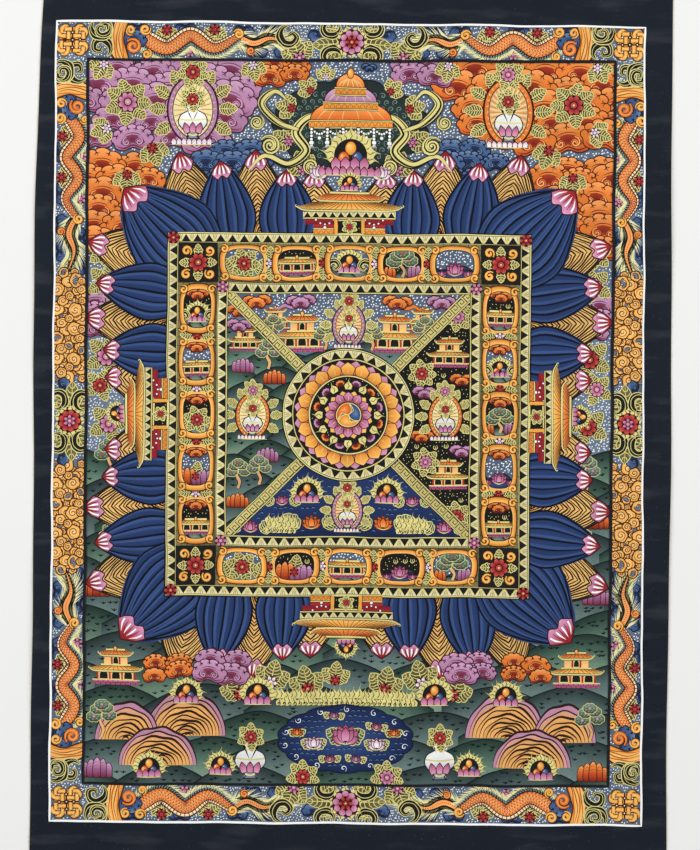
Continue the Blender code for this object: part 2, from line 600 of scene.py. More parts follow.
def lotus(place, width, shades, petals=5):
    """An open lotus from the side, its base at the place's middle."""
    size = width / 22
    for turn in np.linspace(-52, 52, petals):
        bud(place.at(turn=turn), 10.5 * size, 5.6 * size, shades)
    for turn in (-78, 78, -36, 36, 0):
        bud(place.at(turn=turn), 8.6 * size, 5.4 * size, shades)
    stroke("gold_lines", place, arc(4.2 * size, 200, 340, squash=0.45), 0.9, GOLD)


def bud(place, length, width, shades):
    edge = petal_edge(length, width)
    fill("flower_colours", place, edge, None, (0, length * 0.5),
         by_height(0, length, shades.light, shades.body, shades.deep), rings=1)
    outline(place, edge, 0.7, shades.line)


def lotus_seat(place, width, shades=PINK):
    """A low row of lotus petals, as under a jewel or a vase."""
    with one_coat():
        for x in np.arange(-width / 2 + 3, width / 2 - 2, 5.2):
            bud(place.at(x, 0, turn=-x * 0.5), 7.0, 5.6, shades)
    stroke("gold_lines", place, straight((-width / 2, 0), (width / 2, 0)), 1.0, GOLD, (0.4, 0.4))


# ---------------------------------------------------------------- clouds

def cloud_head(place, shades, count):
    """A cloud head 40 wide: scalloped above, and rolled in below round a deep core."""
    tall = 13.5
    top = lobes(36, 2 * tall, count, -10, 190, 0.12, each=5)
    bottom = bend([top[-1], (-15.5, -7.6), (-8, -9.4), (0, -6.6), (8, -9.4), (15.5, -7.6), top[0]], 3)
    edge = np.vstack([top, bottom[1:-1]])
    fill("cloud_colours", place, edge, None, (0, 1.5),
         by_height(-10, tall, shades.deep, shades.body, shades.body, shades.light), rings=2)
    outline(place, edge, 1.0, shades.line, "fine_lines")
    core = bend([(-11.5, -2.6), (-7.5, 3.0), (0, 5.4), (7.5, 3.0), (11.5, -2.6), (5.5, -5.2), (0, -2.6),
                 (-5.5, -5.2)], 4, closed=True)
    stroke("cloud_colours", place, bottom[2:-2] * (0.9, 1) + (0, 2.2), 1.6, shades.core)
    fill("cloud_colours", place, core, [shades.core, mixed(shades.core, shades.deep, 0.5)], (0, 0.5))
    with one_coat():
        for side in (-1, 1):
            roll = spiral(4.6, 90, 1.35 * side, (-side * 5.6, -1.6), 0.15)
            stroke("cloud_colours", place, roll, 1.9 * place.scale + 0.3, shades.light, (0.3, 0.9))
    with one_coat():
        for side in (-1, 1):
            roll = spiral(5.3, 90, 1.3 * side, (-side * 5.6, -1.6), 0.2)
            stroke("fine_lines", place, roll, 0.85, shades.line, (0.3, 0.6))
        if place.scale > 0.6:
            stroke("fine_lines", place, arc(9.4, 30, 150, (0, 1.6), 0.55, 2.5), 0.8, shades.line)
            for k in range(1, count):
                hook_mark(place.at(*top[5 * k]), top[5 * k], shades)


def hook_mark(place, valley, shades):
    """The small hooked mark a painter leaves where two scallops meet."""
    inward = -np.array(valley) / np.hypot(*valley)
    aside = np.array([-inward[1], inward[0]])
    spur = np.array([(0, 0), inward * 2.6 + aside * 0.3, inward * 5.0])
    stroke("fine_lines", place, spur, 1.0, shades.line, (1.0, 0.2))
    for side in (-1, 1):
        hook = np.array([inward * 1.6, inward * 3.2 + aside * side * 1.4, inward * 2.8 + aside * side * 2.9])
        stroke("fine_lines", place, hook, 0.85, shades.line, (0.9, 0.2))


def cloud_bank(place, rows, shades):
    """Rows of cloud heads, each row in front of the one above it.

    A row is its height above the bank's middle, its shift, how many heads, and how wide a head is.
    """
    for lift, shift, heads, wide in rows:
        for k in hand.permutation(heads):
            x = shift + (k - (heads - 1) / 2) * wide * 0.78 + hand.uniform(-2.5, 2.5)
            y = lift + hand.uniform(-3, 3)
            cloud_head(place.at(x, y, hand.uniform(-9, 9), wide / 40 * hand.uniform(0.82, 1.30)),
                       shades, int(hand.integers(5, 8)))


def cloudlet(place, shades):
    """Three small heads with a trailing tail."""
    tail = bend([(0, -4), (9, -7), (17, -4.5), (24, -8), (31, -6)], 2)
    outlined(place, tail, 2.6, shades.body, shades.line, 0.6, (0.9, 0.1))
    cloud_head(place.at(-8, 1, 8, 0.42), shades, 5)
    cloud_head(place.at(8, 0, -6, 0.40), shades, 5)
    cloud_head(place.at(0, -3, 0, 0.50), shades, 6)


# ---------------------------------------------------------------- flames, jewels, ribbons, pearls

def flame(place, height, width):
    """A tongue of flame with a dark lick in it."""
    edge = np.vstack([bend([(-0.42 * width, 0), (-0.58 * width, 0.34 * height),
                            (-0.10 * width, 0.62 * height), (0.20 * width, height)], 1.6),
                      bend([(0.20 * width, height), (0.12 * width, 0.66 * height),
                            (0.55 * width, 0.36 * height), (0.42 * width, 0)], 1.6)[1:]])
    fill("gold_lines", place, edge, [GOLD], (0, 0.3 * height))
    stroke("ink_lines", place, bend([(-0.16 * width, 0.08 * height), (0.14 * width, 0.30 * height),
                                     (-0.06 * width, 0.50 * height), (0.1 * width, 0.74 * height)], 1.6),
           0.7, BLACK, (0.9, 0.1))


def flame_arch(place, radius, count, start, end, height):
    """Flames that stand round an arch."""
    for k, turn in enumerate(np.linspace(start, end, count)):
        tongue = place.at(turn=turn - 90).at(0, radius, size=1 + 0.18 * math.sin(2.4 * k))
        flame(tongue, height, 5.2)


def fire_wall(place, width, rows, height):
    """Rows of flames with curls at their feet."""
    for row in range(rows):
        y = (rows - 1 - row) * height * 0.55
        for x in np.arange(-width / 2 + (row % 2) * 2.4, width / 2, 4.6):
            flame(place.at(x, y, 6 * math.sin(x)), height * (1 + 0.2 * math.sin(1.7 * x)), 5.4)
    with one_coat():
        for x in np.arange(-width / 2 + 2, width / 2, 5.0):
            stroke("ink_lines", place, spiral(2.1, 250, 1.2, (x, 1.8)), 0.8, BLACK, (0.8, 0.8))


def jewel(place, shades, width=6.4, height=8.0):
    edge = oval(width, height, count=16)
    fill("body_colours", place, edge, [shades.light, shades.body, shades.deep], (-0.8, 1.2))
    outline(place, edge, 0.6, shades.line)
    stroke("gold_lines", place, arc(width * 0.27, 100, 200, (0, 0.6)), 0.55, CREAM.light)


def burning_jewels(place):
    """Three jewels heaped in a dark arch with flames round it."""
    flame_arch(place.at(0, 3), 8.4, 13, -8, 188, 8.5)
    arch = np.vstack([arc(9.4, -12, 192, (0, 3.2)), [(-9, -2)], [(9, -2)]])
    fill("ink_lines", place, arch, [BLACK], (0, 3))
    for x, y, shades in ((0, 7.2, GOLDEN), (-3.9, 1.4, ORANGE), (3.9, 1.4, CLOUD_BLUE)):
        jewel(place.at(x, y), shades)
    lotus_seat(place.at(0, -4.6), 22)


def pearl(place, width):
    fill("ink_lines", place, oval(width + 0.9, width + 0.9, count=9), [INK])
    fill("white_touches", place, oval(width, width, count=9), [WHITE])


def pearl_swag(place, width, sag, pearls=None):
    """A string of pearls that hangs between two points, with a drop at its lowest."""
    count = pearls or max(5, int(width / 3.0))
    x = np.linspace(-width / 2, width / 2, count)
    for u, v in zip(x, -sag * (1 - (2 * x / width) ** 2)):
        pearl(place.at(u, v), 1.7)
    pearl(place.at(0, -sag - 3.0), 2.6)


def pearl_fall(place, length):
    """A straight string of pearls that ends in a tassel."""
    for y in np.arange(0, length, 2.5):
        pearl(place.at(0, -y), 2.1)
    pearl(place.at(0, -length - 1.2), 3.4)
    with one_coat():
        for turn in (-32, -11, 11, 32):
            tassel = place.at(0, -length - 2.2, turn)
            stroke("white_touches", tassel, straight((0, 0), (0, -3.6)), 0.7, WHITE, (1, 0.3))


def ribbon(place, points, width):
    """A pale silk ribbon with two black folds along it."""
    line = bend(points, 2.5)
    _, out = beside(line)
    stroke("ink_lines", place, line, width + 2.0, BLACK, (0.35, 0.12))
    stroke("gold_lines", place, line, width, GOLD, (0.3, 0.1))
    with one_coat():
        for share, wide in ((-0.20, 0.26), (0.24, 0.14)):
            stroke("ink_lines", place, (line + out * share * width)[2:-4], wide * width, BLACK, (0.1, 0.1))


def gilded_curl(place, radius):
    """A broad pale curl of silk, rolled in black."""
    line = spiral(radius, 0, 1.6, inner=0.15)
    stroke("ink_lines", place, line, 0.62 * radius + 1.8, BLACK, (0.3, 0.9))
    stroke("gold_lines", place, line, 0.62 * radius, GOLD, (0.25, 0.9))
    stroke("ink_lines", place, line * 0.97, 0.18 * radius, BLACK, (0.2, 0.5))
    stroke("gold_lines", place, oval(0.7, 0.7, count=8), 0.9, GOLD_PALE, closed=True)


# ---------------------------------------------------------------- land, water and halls

def ground(place, low, high, colours, kind, step=6.0):
    """An upright box of ground colour, shaded from its top to its foot."""
    cols = max(2, math.ceil((high[0] - low[0]) / step) + 1)
    rows = max(2, math.ceil((high[1] - low[1]) / step) + 1)
    x, y = np.meshgrid(np.linspace(low[0], high[0], cols), np.linspace(high[1], low[1], rows))
    wash("ground_colours", place, np.stack([x, y], axis=-1), colours, kind)


def hill(place, crest, foot, shades):
    """A rounded hill, darkest along its crest."""
    line = bend(crest, 5)
    base = np.column_stack([line[:, 0], np.full(len(line), float(foot))])
    rows = max(4, math.ceil((line[:, 1].max() - foot) / 6))
    wash("ground_colours", place, between(line, base, rows, 1.4),
         (shades.core, shades.deep, shades.body, shades.light, shades.light), HILL)
    stroke("ink_lines", place, line, 1.0, shades.line, (1, 1))


def low_hills(place, width, height, count):
    """A few overlapping hills, the far ones first."""
    for k in range(count):
        lift = height * (count - k) / count
        x = np.linspace(-width / 2, width / 2, 7)
        y = lift + height * 0.30 * np.sin(x / width * 9 + 2.1 * k) - 0.2 * height
        hill(place, np.column_stack([x, y]), 0.0, (GREEN, JADE)[k % 2])


def pool(place, edge):
    fill("ground_colours", place, edge, (NAVY.light, NAVY.body, NAVY.deep), kind=WATER)
    outline(place, edge, 0.8, NAVY.line)


def banded_mound(place, width, height):
    """A mound of earth in close stripes: ochre and black, cooling to mauve at its rim."""
    bands = round(width / 6.4)
    for k in range(bands):
        share = 1 - k / bands
        squash = 2 * height / width * (0.45 + 0.55 * share)
        rim = arc(width / 2 * share, 0, 180, (0, 0), squash, 4)
        rim[:, 0] += 0.05 * width * (1 - share) * math.sin(width)
        rim[:, 1] += 0.9 * np.sin(rim[:, 0] * 0.30 + 1.7 * k) * (rim[:, 1] > 1)
        tone = mixed(mixed(GOLDEN.body, TAN, 0.5), MAUVE.body, 0.9 * max(0.0, (share - 0.82) / 0.18))
        fill("body_colours", place, np.vstack([rim, [(0, 0)]]), [tone], (0, 0.1), rings=1)
        stroke("ink_lines", place, rim, 2.3 - 0.8 * (k % 2), mixed(BLACK, ORANGE.line, 0.4), (0.2, 0.2))


def rock(place, shades, fingers):
    """Rounded fingers of rock side by side, ribbed across."""
    height = 17.0
    order = sorted(range(fingers), key=lambda k: -abs(k - (fingers - 1) / 2))
    for k in order:
        x = (k - (fingers - 1) / 2) * 5.0
        top = height * (1 - 0.13 * abs(k - (fingers - 1) / 2)) + 1.5 * math.sin(3 * k)
        edge = bend([(x - 3.0, 0), (x - 3.3, 0.6 * top), (x - 1.8, 0.93 * top), (x + 0.9, top),
                     (x + 3.0, 0.72 * top), (x + 3.2, 0.3 * top), (x + 3.0, 0)], 2.2, closed=True)
        fill("body_colours", place, edge, None, (x, top / 2),
             by_height(0, top, shades.core, shades.deep, shades.body, shades.light))
        outline(place, edge, 0.7, shades.line)
        with one_coat():
            for y in np.arange(0.22, 0.9, 0.17) * top:
                rib = bend([(x - 2.4, y - 0.6), (x - 0.4, y + 0.9), (x + 2.3, y - 0.2)], 2)
                stroke("fine_lines", place, rib, 0.55, shades.deep, (0.5, 0.2))


def tree(place, height, shades=JADE, blossom=CRIMSON):
    """A blossoming tree: a bent trunk and leafy domes."""
    outlined(place, bend([(0, 0), (1.8, 0.25 * height), (-1.2, 0.5 * height), (0.6, 0.8 * height)], 2),
             2.6, TAN, INK, 0.6, (1.0, 0.4))
    for u, v, r in ((-7, 0.62, 6.4), (7, 0.66, 6.2), (-4, 0.84, 6.0), (4.4, 0.88, 5.8), (0, 0.98, 6.0)):
        dome = place.at(u, v * height)
        edge = lobes(2 * r, 1.5 * r, 8, 0, 360, 0.12, each=4)[:-1]
        leaves = by_height(-r, r, shades.core, shades.body, shades.light)
        fill("body_colours", dome, edge, None, (0, 0), leaves)
        outline(dome, edge, 0.55, GOLD, "gold_lines")
        with one_coat():
            for k in range(7):
                tick = dome.at(*(np.array([math.cos(k * 0.9), 0.7 * math.sin(k * 0.9)]) * r * 0.62))
                stroke("gold_lines", tick, bend([(-1.0, -0.7), (0, 0.6), (1.0, -0.6)], 2), 0.45, GOLD)
        fill("body_colours", dome, oval(2.6, 2.6, count=8), [blossom.light, blossom.body])


def brick_rows(track, length, height, rows, brick, shades):
    x = np.linspace(0, length, max(2, math.ceil(length / 5) + 1))
    low = np.column_stack([x, np.zeros_like(x)])
    wash("body_colours", track, between(low, low + (0, height), 2), [shades.deep, shades.body])
    with one_coat():
        for row in range(1, rows):
            stroke("fine_lines", track, straight((0, height * row / rows), (length, height * row / rows)),
                   0.5, shades.line, (1, 1))
        for row in range(rows):
            for u in np.arange(brick * (0.5 + 0.5 * (row % 2)), length, brick):
                joint = straight((u, height * row / rows), (u, height * (row + 1) / rows))
                stroke("fine_lines", track, joint, 0.5, shades.line, (1, 1))


def roof(place, width, height, shades):
    """A tiled roof whose eaves turn up and end in gold curls."""
    eaves = bend([(-0.60 * width, 0.42 * height), (-0.47 * width, 0.04 * height), (0, 0),
                  (0.47 * width, 0.04 * height), (0.60 * width, 0.42 * height)], 3)
    ridge = np.column_stack([np.linspace(-0.34, 0.34, len(eaves)) * width, np.full(len(eaves), height)])
    wash("body_colours", place, between(ridge, eaves, 4), [shades.deep, shades.body, shades.light])
    with one_coat():
        for k in range(1, len(eaves) - 1, 2):
            stroke("ink_lines", place, straight(ridge[k], eaves[k]), 0.5, shades.line, (1, 0.6))
    outlined(place, eaves, 1.5, GOLD, INK, 0.5, (0.6, 0.6), "gold_lines")
    outlined(place, ridge[::4], 1.7, GOLD, INK, 0.5, (1, 1), "gold_lines")
    with one_coat():
        for side in (-1, 1):
            end = side * 0.60 * width
            curl = spiral(1.9, 90 + 90 * side, side * 0.9, (end, 0.42 * height + 1.4))
            stroke("gold_lines", place, curl, 0.8, GOLD)


def pavilion(place, width, tiers):
    """A small hall on a brick base, its doorway dark between red posts, under stepped roofs."""
    brick_rows(place.at(-0.52 * width), 1.04 * width, 4.6, 2, 5.0, PINK)
    stroke("gold_lines", place, straight((-0.54 * width, 4.8), (0.54 * width, 4.8)), 1.0, GOLD, (1, 1))
    for tier in range(tiers):
        span = width * (1 - 0.36 * tier)
        foot = 5.2 + 15.2 * tier
        walls = between(straight((-0.42 * span, foot + 8.6), (0.42 * span, foot + 8.6)),
                        straight((-0.42 * span, foot), (0.42 * span, foot)), 2)
        wash("body_colours", place, walls, [TAN, GOLDEN.light])
        bays = 3 if tier == 0 else 1
        for k in range(bays):
            u = (k - (bays - 1) / 2) * span * 0.28
            door = np.vstack([arc(0.095 * span, 0, 180, (u, foot + 4.6)),
                              [(u - 0.095 * span, foot + 0.4), (u + 0.095 * span, foot + 0.4)]])
            fill("ink_lines", place, door, [BLACK])
            outline(place, door, 0.6, GOLD, "gold_lines")
        with one_coat():
            for k in range(bays + 1):
                u = (k - bays / 2) * span * 0.28
                stroke("body_colours", place, straight((u, foot), (u, foot + 8.6)), 1.7, CRIMSON.body, (1, 1))
        roof(place.at(0, foot + 8.2), span, 6.4, (GOLDEN, ORANGE)[tier % 2])
    jewel(place.at(0, 15.2 * tiers + 5.4), GOLDEN, 3.4, 5.4)


# ---------------------------------------------------------------- bands

def lined_band(track, length, width, colours):
    """A band's ground between its two pairs of lines."""
    x = np.linspace(0, length, max(2, math.ceil(length / 4) + 1))
    low = np.column_stack([x, np.zeros_like(x)])
    wash("body_colours", track, between(low, low + (0, width), 2), colours)
    with one_coat():
        for y in (0.0, width):
            stroke("ink_lines", track, low + (0, y), 2.0, INK, (1, 1))
    with one_coat():
        for y in (0.0, width):
            stroke("gold_lines", track, low + (0, y), 0.9, GOLD, (1, 1))


def triangle_band(track, length, width=9.0, pitch=11.0):
    """Black triangles on a pale hatched ground."""
    lined_band(track, length, width, [CREAM.deep, CREAM.body])
    count = max(2, round(length / pitch))
    pitch = length / count
    with one_coat():
        for k in range(count):
            x = (k + 0.5) * pitch
            black = straights((x - 0.40 * pitch, 0.9), (x + 0.40 * pitch, 0.9), (x, width - 1.2), closed=True,
                              step=5)
            fill("ink_lines", track, black, [BLACK])
    with one_coat():
        for k in range(count + 1):
            for u in (-0.18, 0.0, 0.18):
                x = k * pitch + u * pitch
                if 0 < x < length:
                    hatch = straight((x, width - 1.3), (k * pitch + 0.3 * u * pitch, 3.0))
                    stroke("fine_lines", track, hatch, 0.45, OLIVE_DEEP, (1, 0.2))


def fret_band(track, length, width):
    """A running key pattern."""
    lined_band(track, length, width, [CREAM.deep, CREAM.deep])
    cell = width * 0.86
    count = max(1, int(length / cell))
    cell = length / count
    with one_coat():
        for k in range(count):
            turns = ((0, 0.16), (0, 0.84), (0.74, 0.84), (0.74, 0.38), (0.34, 0.38), (0.34, 0.62))
            key = straights(*((k * cell + u * cell, v * width) for u, v in turns), step=9)
            stroke("ink_lines", track, key, 0.9, INK, (1, 1))


def petal_band(track, length, width, shades, count):
    """A ring of lotus petals, back row and front row."""
    pitch = length / count
    for offset, reach, tone in ((0.5, 1.0, shades[1]), (0.0, 0.86, shades[0])):
        with one_coat():
            for k in range(count):
                petal = petal_edge(width * reach, pitch * 1.04) + ((k + offset) * pitch, 0)
                middle = ((k + offset) * pitch, 0.45 * width)
                fill("body_colours", track, petal, None, middle,
                     by_height(0, width * reach, tone.deep, tone.body, tone.light))
        with one_coat():
            for k in range(count):
                petal = petal_edge(width * reach, pitch * 1.04) + ((k + offset) * pitch, 0)
                stroke("ink_lines", track, petal, 0.7, tone.line, (1, 1))
                vein = straight(((k + offset) * pitch, 1), ((k + offset) * pitch, 0.62 * width * reach))
                stroke("gold_lines", track, vein, 0.5, GOLD, (1, 0.2))


# ---------------------------------------------------------------- knots and scrolls

# Where a knot's cords run, to either side of its middle.
KNOT_CORDS = (-10.4, -3.9, 3.9, 10.4)


def knot_ring(left, right, reach):
    """A long ring of cord, round at both ends: its line, and the places where cords cross it."""
    middle, half = (left + right) / 2, (right - left) / 2
    top = arc(half, 0, 180, (middle, reach), step=0.5)
    side = straight((left, reach), (left, -reach), 0.4)[1:]
    ring = np.vstack([top, side, 2 * np.array([middle, 0]) - top[1:], 2 * np.array([middle, 0]) - side[:-1]])
    crossings = []
    for x in (left, right):
        for y in KNOT_CORDS:
            nearest = int(np.argmin(np.hypot(*(ring - (x, y)).T)))
            crossings.append((nearest, KNOT_CORDS.index(x), KNOT_CORDS.index(y)))
    return ring, crossings


def knot(place):
    """An endless knot: two upright and two level rings of broad cord, woven over and under."""
    cord = 3.5
    fill("ink_lines", place, superoval(12, 12, 4, 16), [ORANGE.line])
    under, over = [], []
    for turn in (0, 90):
        for left, right in (KNOT_CORDS[:2], KNOT_CORDS[2:]):
            ring, crossings = knot_ring(left, right, 9.9)
            for end in (1, -1):
                under.append((turn, ring[ring[:, 1] * end > 9.4]))
            for at, column, row in crossings:
                passage = ring[(np.arange(17) + at - 8) % len(ring)]
                (over if (column + row) % 2 else under).append((turn, passage))
    for turn, line in under + over:
        cord_place = place.at(turn=turn)
        stroke("ink_lines", cord_place, line, cord + 1.5, GOLDEN.line, (1, 1))
        stroke("border_colours", cord_place, line, cord, GOLDEN.body, (1, 1))
        stroke("border_colours", cord_place, line, cord * 0.36, GOLDEN.light, (1, 1))
    with one_coat():
        for x in (-7.15, 0, 7.15):
            for y in (-7.15, 0, 7.15):
                fill("white_touches", place, oval(1.3, 1.3, (x, y), 6), [WHITE])


def scroll(place, radius, shades, turns, width, paint="border_colours"):
    """A thick rolled tendril."""
    line = spiral(radius, 0, turns, inner=0.2)
    stroke("ink_lines", place, line, width + 1.4, shades.line, (0.5, 0.8))
    stroke(paint, place, line, width, shades.body, (0.4, 0.8))
    stroke(paint, place, line[1:-2] * 0.97, width * 0.3, shades.light, (0.3, 0.3))


def scrollwork(place, length, depth, shades):
    """A stretch of the border filled with small rolled clouds that lap over one another."""
    spots = [(k, row, x, y) for row, y in enumerate(np.arange(depth - 2.5, 0, -6.0))
             for k, x in enumerate(np.arange(2.0 + 3.8 * (row % 2), length, 7.8))]
    for turn in range(9):
        for k, row, x, y in spots:
            if (k % 3, row % 3) != divmod(4 * turn % 9, 3):
                continue
            turned = 80 * math.sin(7 * x + row)
            size = 1 + 0.36 * math.sin(5.1 * x + 2 * row)
            curl = place.at(x + 2.6 * math.sin(3 * row + k), y + 1.2 * math.sin(2 * k + row), turned, size,
                            (k + row) % 2)
            puffed = lobes(9.8, 9.0, 5, 0, 360, 0.12, each=3)[:-1]
            fill("border_colours", curl, puffed, [mixed(shades.light, GOLD_PALE, 0.35), shades.body])
            outline(curl, puffed, 1.1, GOLDEN.line, "fine_lines")
            stroke("fine_lines", curl, spiral(3.7, 200, -1.6), 0.9, ORANGE.core, (0.5, 0.7))
            if (2 * k + row) % 5 == 0:
                streak = bend([(-3.2, -1.0), (-0.8, 1.6), (1.2, -0.6), (3.4, 1.4)], 1.2)
                stroke("fine_lines", curl, streak, 3.2, GOLDEN.line, (0.8, 0.5))
                stroke("border_colours", curl, streak, 2.0, SLATE_PALE, (0.8, 0.5))


def feather_fringe(place, line, reach, colour, lean, pitch):
    """Close feathery dabs that stand out along one side of a line."""
    run, _ = beside(line)
    length = np.concatenate([[0], np.cumsum(np.hypot(*np.diff(line, axis=0).T))])
    spots = np.arange(0, length[-1], pitch)
    points = np.column_stack([np.interp(spots, length, line[:, k]) for k in (0, 1)])
    ways = np.column_stack([np.interp(spots, length, run[:, k]) for k in (0, 1)])
    with one_coat():
        for point, way in zip(points, ways):
            out = np.array([-way[1], way[0]]) * reach * hand.uniform(0.8, 1.15)
            middle = point + 0.5 * out - 0.15 * way * abs(reach) * lean
            tip = point + out - way * abs(reach) * lean
            stroke("gold_lines", place, np.array([point, middle, tip]), 1.1, colour, (1, 0.1))


def garland(place, points, width, shades):
    """A swaying scaled band: a pale underside, rows of scales, and a dark crest feathered in gold."""
    line = bend(points, 3.0)
    run, out = beside(line)
    half = np.interp(np.linspace(0, 1, len(line)), (0, 0.1, 0.6, 1), (0.7, 1, 0.9, 0.45))[:, None] * width / 2
    back = line + out * (half + 1.0)
    feather_fringe(place, back, 7.0, GOLD_PALE, -0.9, 1.5)
    stroke("ink_lines", place, back, 4.2, BLACK, (0.5, 0.3))
    feather_fringe(place, line + out * half, 3.6, GREEN.light, -0.9, 2.4)
    wash("border_colours", place, between(line + out * half, line - out * half * 0.55, 4),
         [shades.body, shades.light, shades.light, shades.body])
    underside = between(line - out * half * 0.55, line - out * half, 2)
    wash("border_colours", place, underside, [CREAM.light, GOLDEN.light])
    with one_coat():
        for share in (1.0, -0.55, -1.0):
            stroke("ink_lines", place, line + out * half * share, 1.1, shades.line, (0.7, 0.5))
    with one_coat():
        for k in range(1, len(line) - 1):
            plate = np.array([line[k] - out[k] * half[k] * 0.6, line[k] - out[k] * half[k]])
            stroke("fine_lines", place, plate, 0.8, shades.line, (1, 1))
            for row, share in enumerate((-0.28, 0.08, 0.44, 0.78)):
                dab = line[k] + out[k] * half[k] * share + run[k] * 1.4 * (row % 2)
                scale = np.array([dab + out[k] * 1.1 - run[k] * 0.6, dab + run[k] * 0.8,
                                  dab - out[k] * 1.1 - run[k] * 0.6])
                stroke("fine_lines", place, scale, 0.75, CRIMSON.deep, (0.8, 0.8))


def hoop(place, depth):
    """A bowed strap across the border, grained along its length."""
    width = 14.0
    line = bend([(-1.5, -1), (2.4, depth * 0.28), (3.2, depth * 0.6), (-0.5, depth + 1)], 3)
    bulge = 1 + 0.14 * np.sin(np.linspace(0, math.tau, len(line)))[:, None]
    edges = [line + (side * width / 2, 0) * bulge for side in (-1, 1)]
    wash("border_colours", place, between(edges[0], edges[1], 6),
         [GOLDEN.deep, GOLDEN.body, GOLDEN.light, GOLDEN.body, GOLDEN.light, GOLDEN.body])
    with one_coat():
        for edge in edges:
            stroke("ink_lines", place, edge, 1.3, GOLDEN.line, (1, 1))
    with one_coat():
        for share in (-0.62, -0.25, 0.12, 0.5):
            waver = (1 + 0.3 * np.sin(np.linspace(0, 7, len(line)) + 3 * share))[:, None]
            stroke("ink_lines", place, line + (share * width / 2, 0) * waver, 1.0, GOLDEN.core, (1, 0.4))


# ---------------------------------------------------------------- the great lotus and its court

# The court's place and half side, the depth of its row of windows and of a triangle band, the half side
# inside both, and the radius of its round middle.
COURT = Place(0.0, 8.0)
COURT_HALF = 172.0
PANEL_DEPTH = 38.0
TRIANGLES = 9.0
INNER_HALF = COURT_HALF - 2 * TRIANGLES - PANEL_DEPTH
HEART = 62.0


def great_petal(place, length, width, folds=6):
    """One great petal, pleated from its base to its tip."""
    edge = petal_edge(length, width, 0.86, 0.20)
    right = edge[:len(edge) // 2 + 1]
    up = right[:, 1:] / length
    pleats = [right * (s, 0.90 + 0.10 * abs(s)) + (0.05 * width * math.sin(2.2 * s), 0) * up
              for s in np.linspace(-1, 1, folds + 1)]
    fill("body_colours", place, edge, [NAVY.body], (0, 0.45 * length), rings=1)
    with one_coat():
        for first, last in zip(pleats, pleats[1:]):
            wash("body_colours", place, between(first, last, 5),
                 [NAVY.deep, NAVY.body, NAVY.body, NAVY.light, NAVY.body])
    with one_coat():
        for k, pleat in enumerate(pleats[1:-1]):
            stroke("ink_lines", place, pleat[k % 2:], 1.9 - 0.7 * (k % 2), NAVY.line, (0.9, 0.15))
    with one_coat():
        for pleat in pleats[1:-1:2]:
            stroke("body_colours", place, pleat[1:-3] - (0.055 * width, 0), 1.5, NAVY.light, (0.2, 0.2))
    outline(place, edge, 1.7, NAVY.line)
    turned_tip(place, length, width)


def striped_petal(place, length, width):
    """A golden petal crossed by close dark stripes."""
    edge = petal_edge(length, width, 0.86, 0.20)
    fill("body_colours", place, edge, None, (0, 0.45 * length),
         by_height(0.3 * length, length, STRIPED.body, STRIPED.light), rings=2)
    with one_coat():
        for k, s in enumerate(np.linspace(0.97, 0.10, round(length / 4.6))):
            stripe = (edge * (s, 0.10 + 0.90 * s))[1:-1]
            stripe[:, 1] += 0.6 * np.sin(stripe[:, 0] * 0.5 + 2 * k)
            stroke("fine_lines", place, stripe, 1.6 - 0.5 * (k % 2), STRIPED.line, (0.1, 0.25))
    outline(place, edge, 1.6, STRIPED.line)
    turned_tip(place, length, width)


def turned_tip(place, length, width):
    """The petal's tip, rolled over so that its rosy underside shows."""
    over = petal_edge(length, width, 0.86, 0.20)
    over = over[over[:, 1] > 0.85 * length] + (0, 0.02 * length)
    half = over[:, 0].max()

    def across(*places, step):
        return bend([(x * half, y * length) for x, y in places], step)

    roll = across((-1, 0.87), (-0.45, 0.80), (0, 0.84), (0.45, 0.80), (1, 0.87), step=3)
    edge = np.vstack([roll[:-1], over[:-1]])
    fill("body_colours", place, edge, None, (0, 0.91 * length),
         by_height(0.80 * length, 1.02 * length, PINK.light, PINK.body, CRIMSON.body, CRIMSON.deep))
    outline(place, edge, 1.2, PINK.line)
    with one_coat():
        for u in (-0.45, 0, 0.45):
            fold = across((u, 0.85), (0.75 * u, 0.92), (0.2 * u, 0.98), step=4)
            stroke("fine_lines", place, fold, 0.9, CRIMSON.deep, (0.4, 0.2))
    with one_coat():
        for u in (-0.72, -0.22, 0.22, 0.72):
            vein = across((u, 0.86), (0.85 * u, 0.91), (0.45 * u, 0.965), step=4)
            stroke("white_touches", place, vein, 1.7, WHITE, (0.9, 0.1))


def strap_band(track, length, width):
    """A gilded strap with a row of half rounds."""
    lined_band(track, length, width, [GOLDEN.deep, GOLDEN.light, GOLDEN.body])
    with one_coat():
        for x in np.arange(2.6, length - 1, 4.6):
            stroke("ink_lines", track, arc(1.9, 0, 180, (x, 0.25 * width), 1.5), 0.6, GOLDEN.core, (1, 1))


def great_lotus(court):
    """Petals on every side of the court: striped gold ones behind, blue ones before them."""
    for side in range(4):
        edge = court.at(turn=90 * side)
        with outside(edge, COURT_HALF - 4):
            for u, turn in ((-140, 14), (140, -14), (-84, 4), (84, -4), (-34, 0), (34, 0)):
                striped_petal(edge.at(u, COURT_HALF - 14, turn), 92 if abs(u) > 60 else 72, 54)
    for side in range(4):
        edge = court.at(turn=90 * side)
        with outside(edge, COURT_HALF - 4):
            for u, turn in ((-112, 8), (112, -8), (-58, 2), (58, -2)):
                great_petal(edge.at(u, COURT_HALF - 14, turn), 82 if abs(u) > 80 else 74, 50)
        corner = court.at(turn=90 * side + 45).at(0, COURT_HALF * math.sqrt(2) - 50)
        great_petal(corner, 108, 80, folds=11)


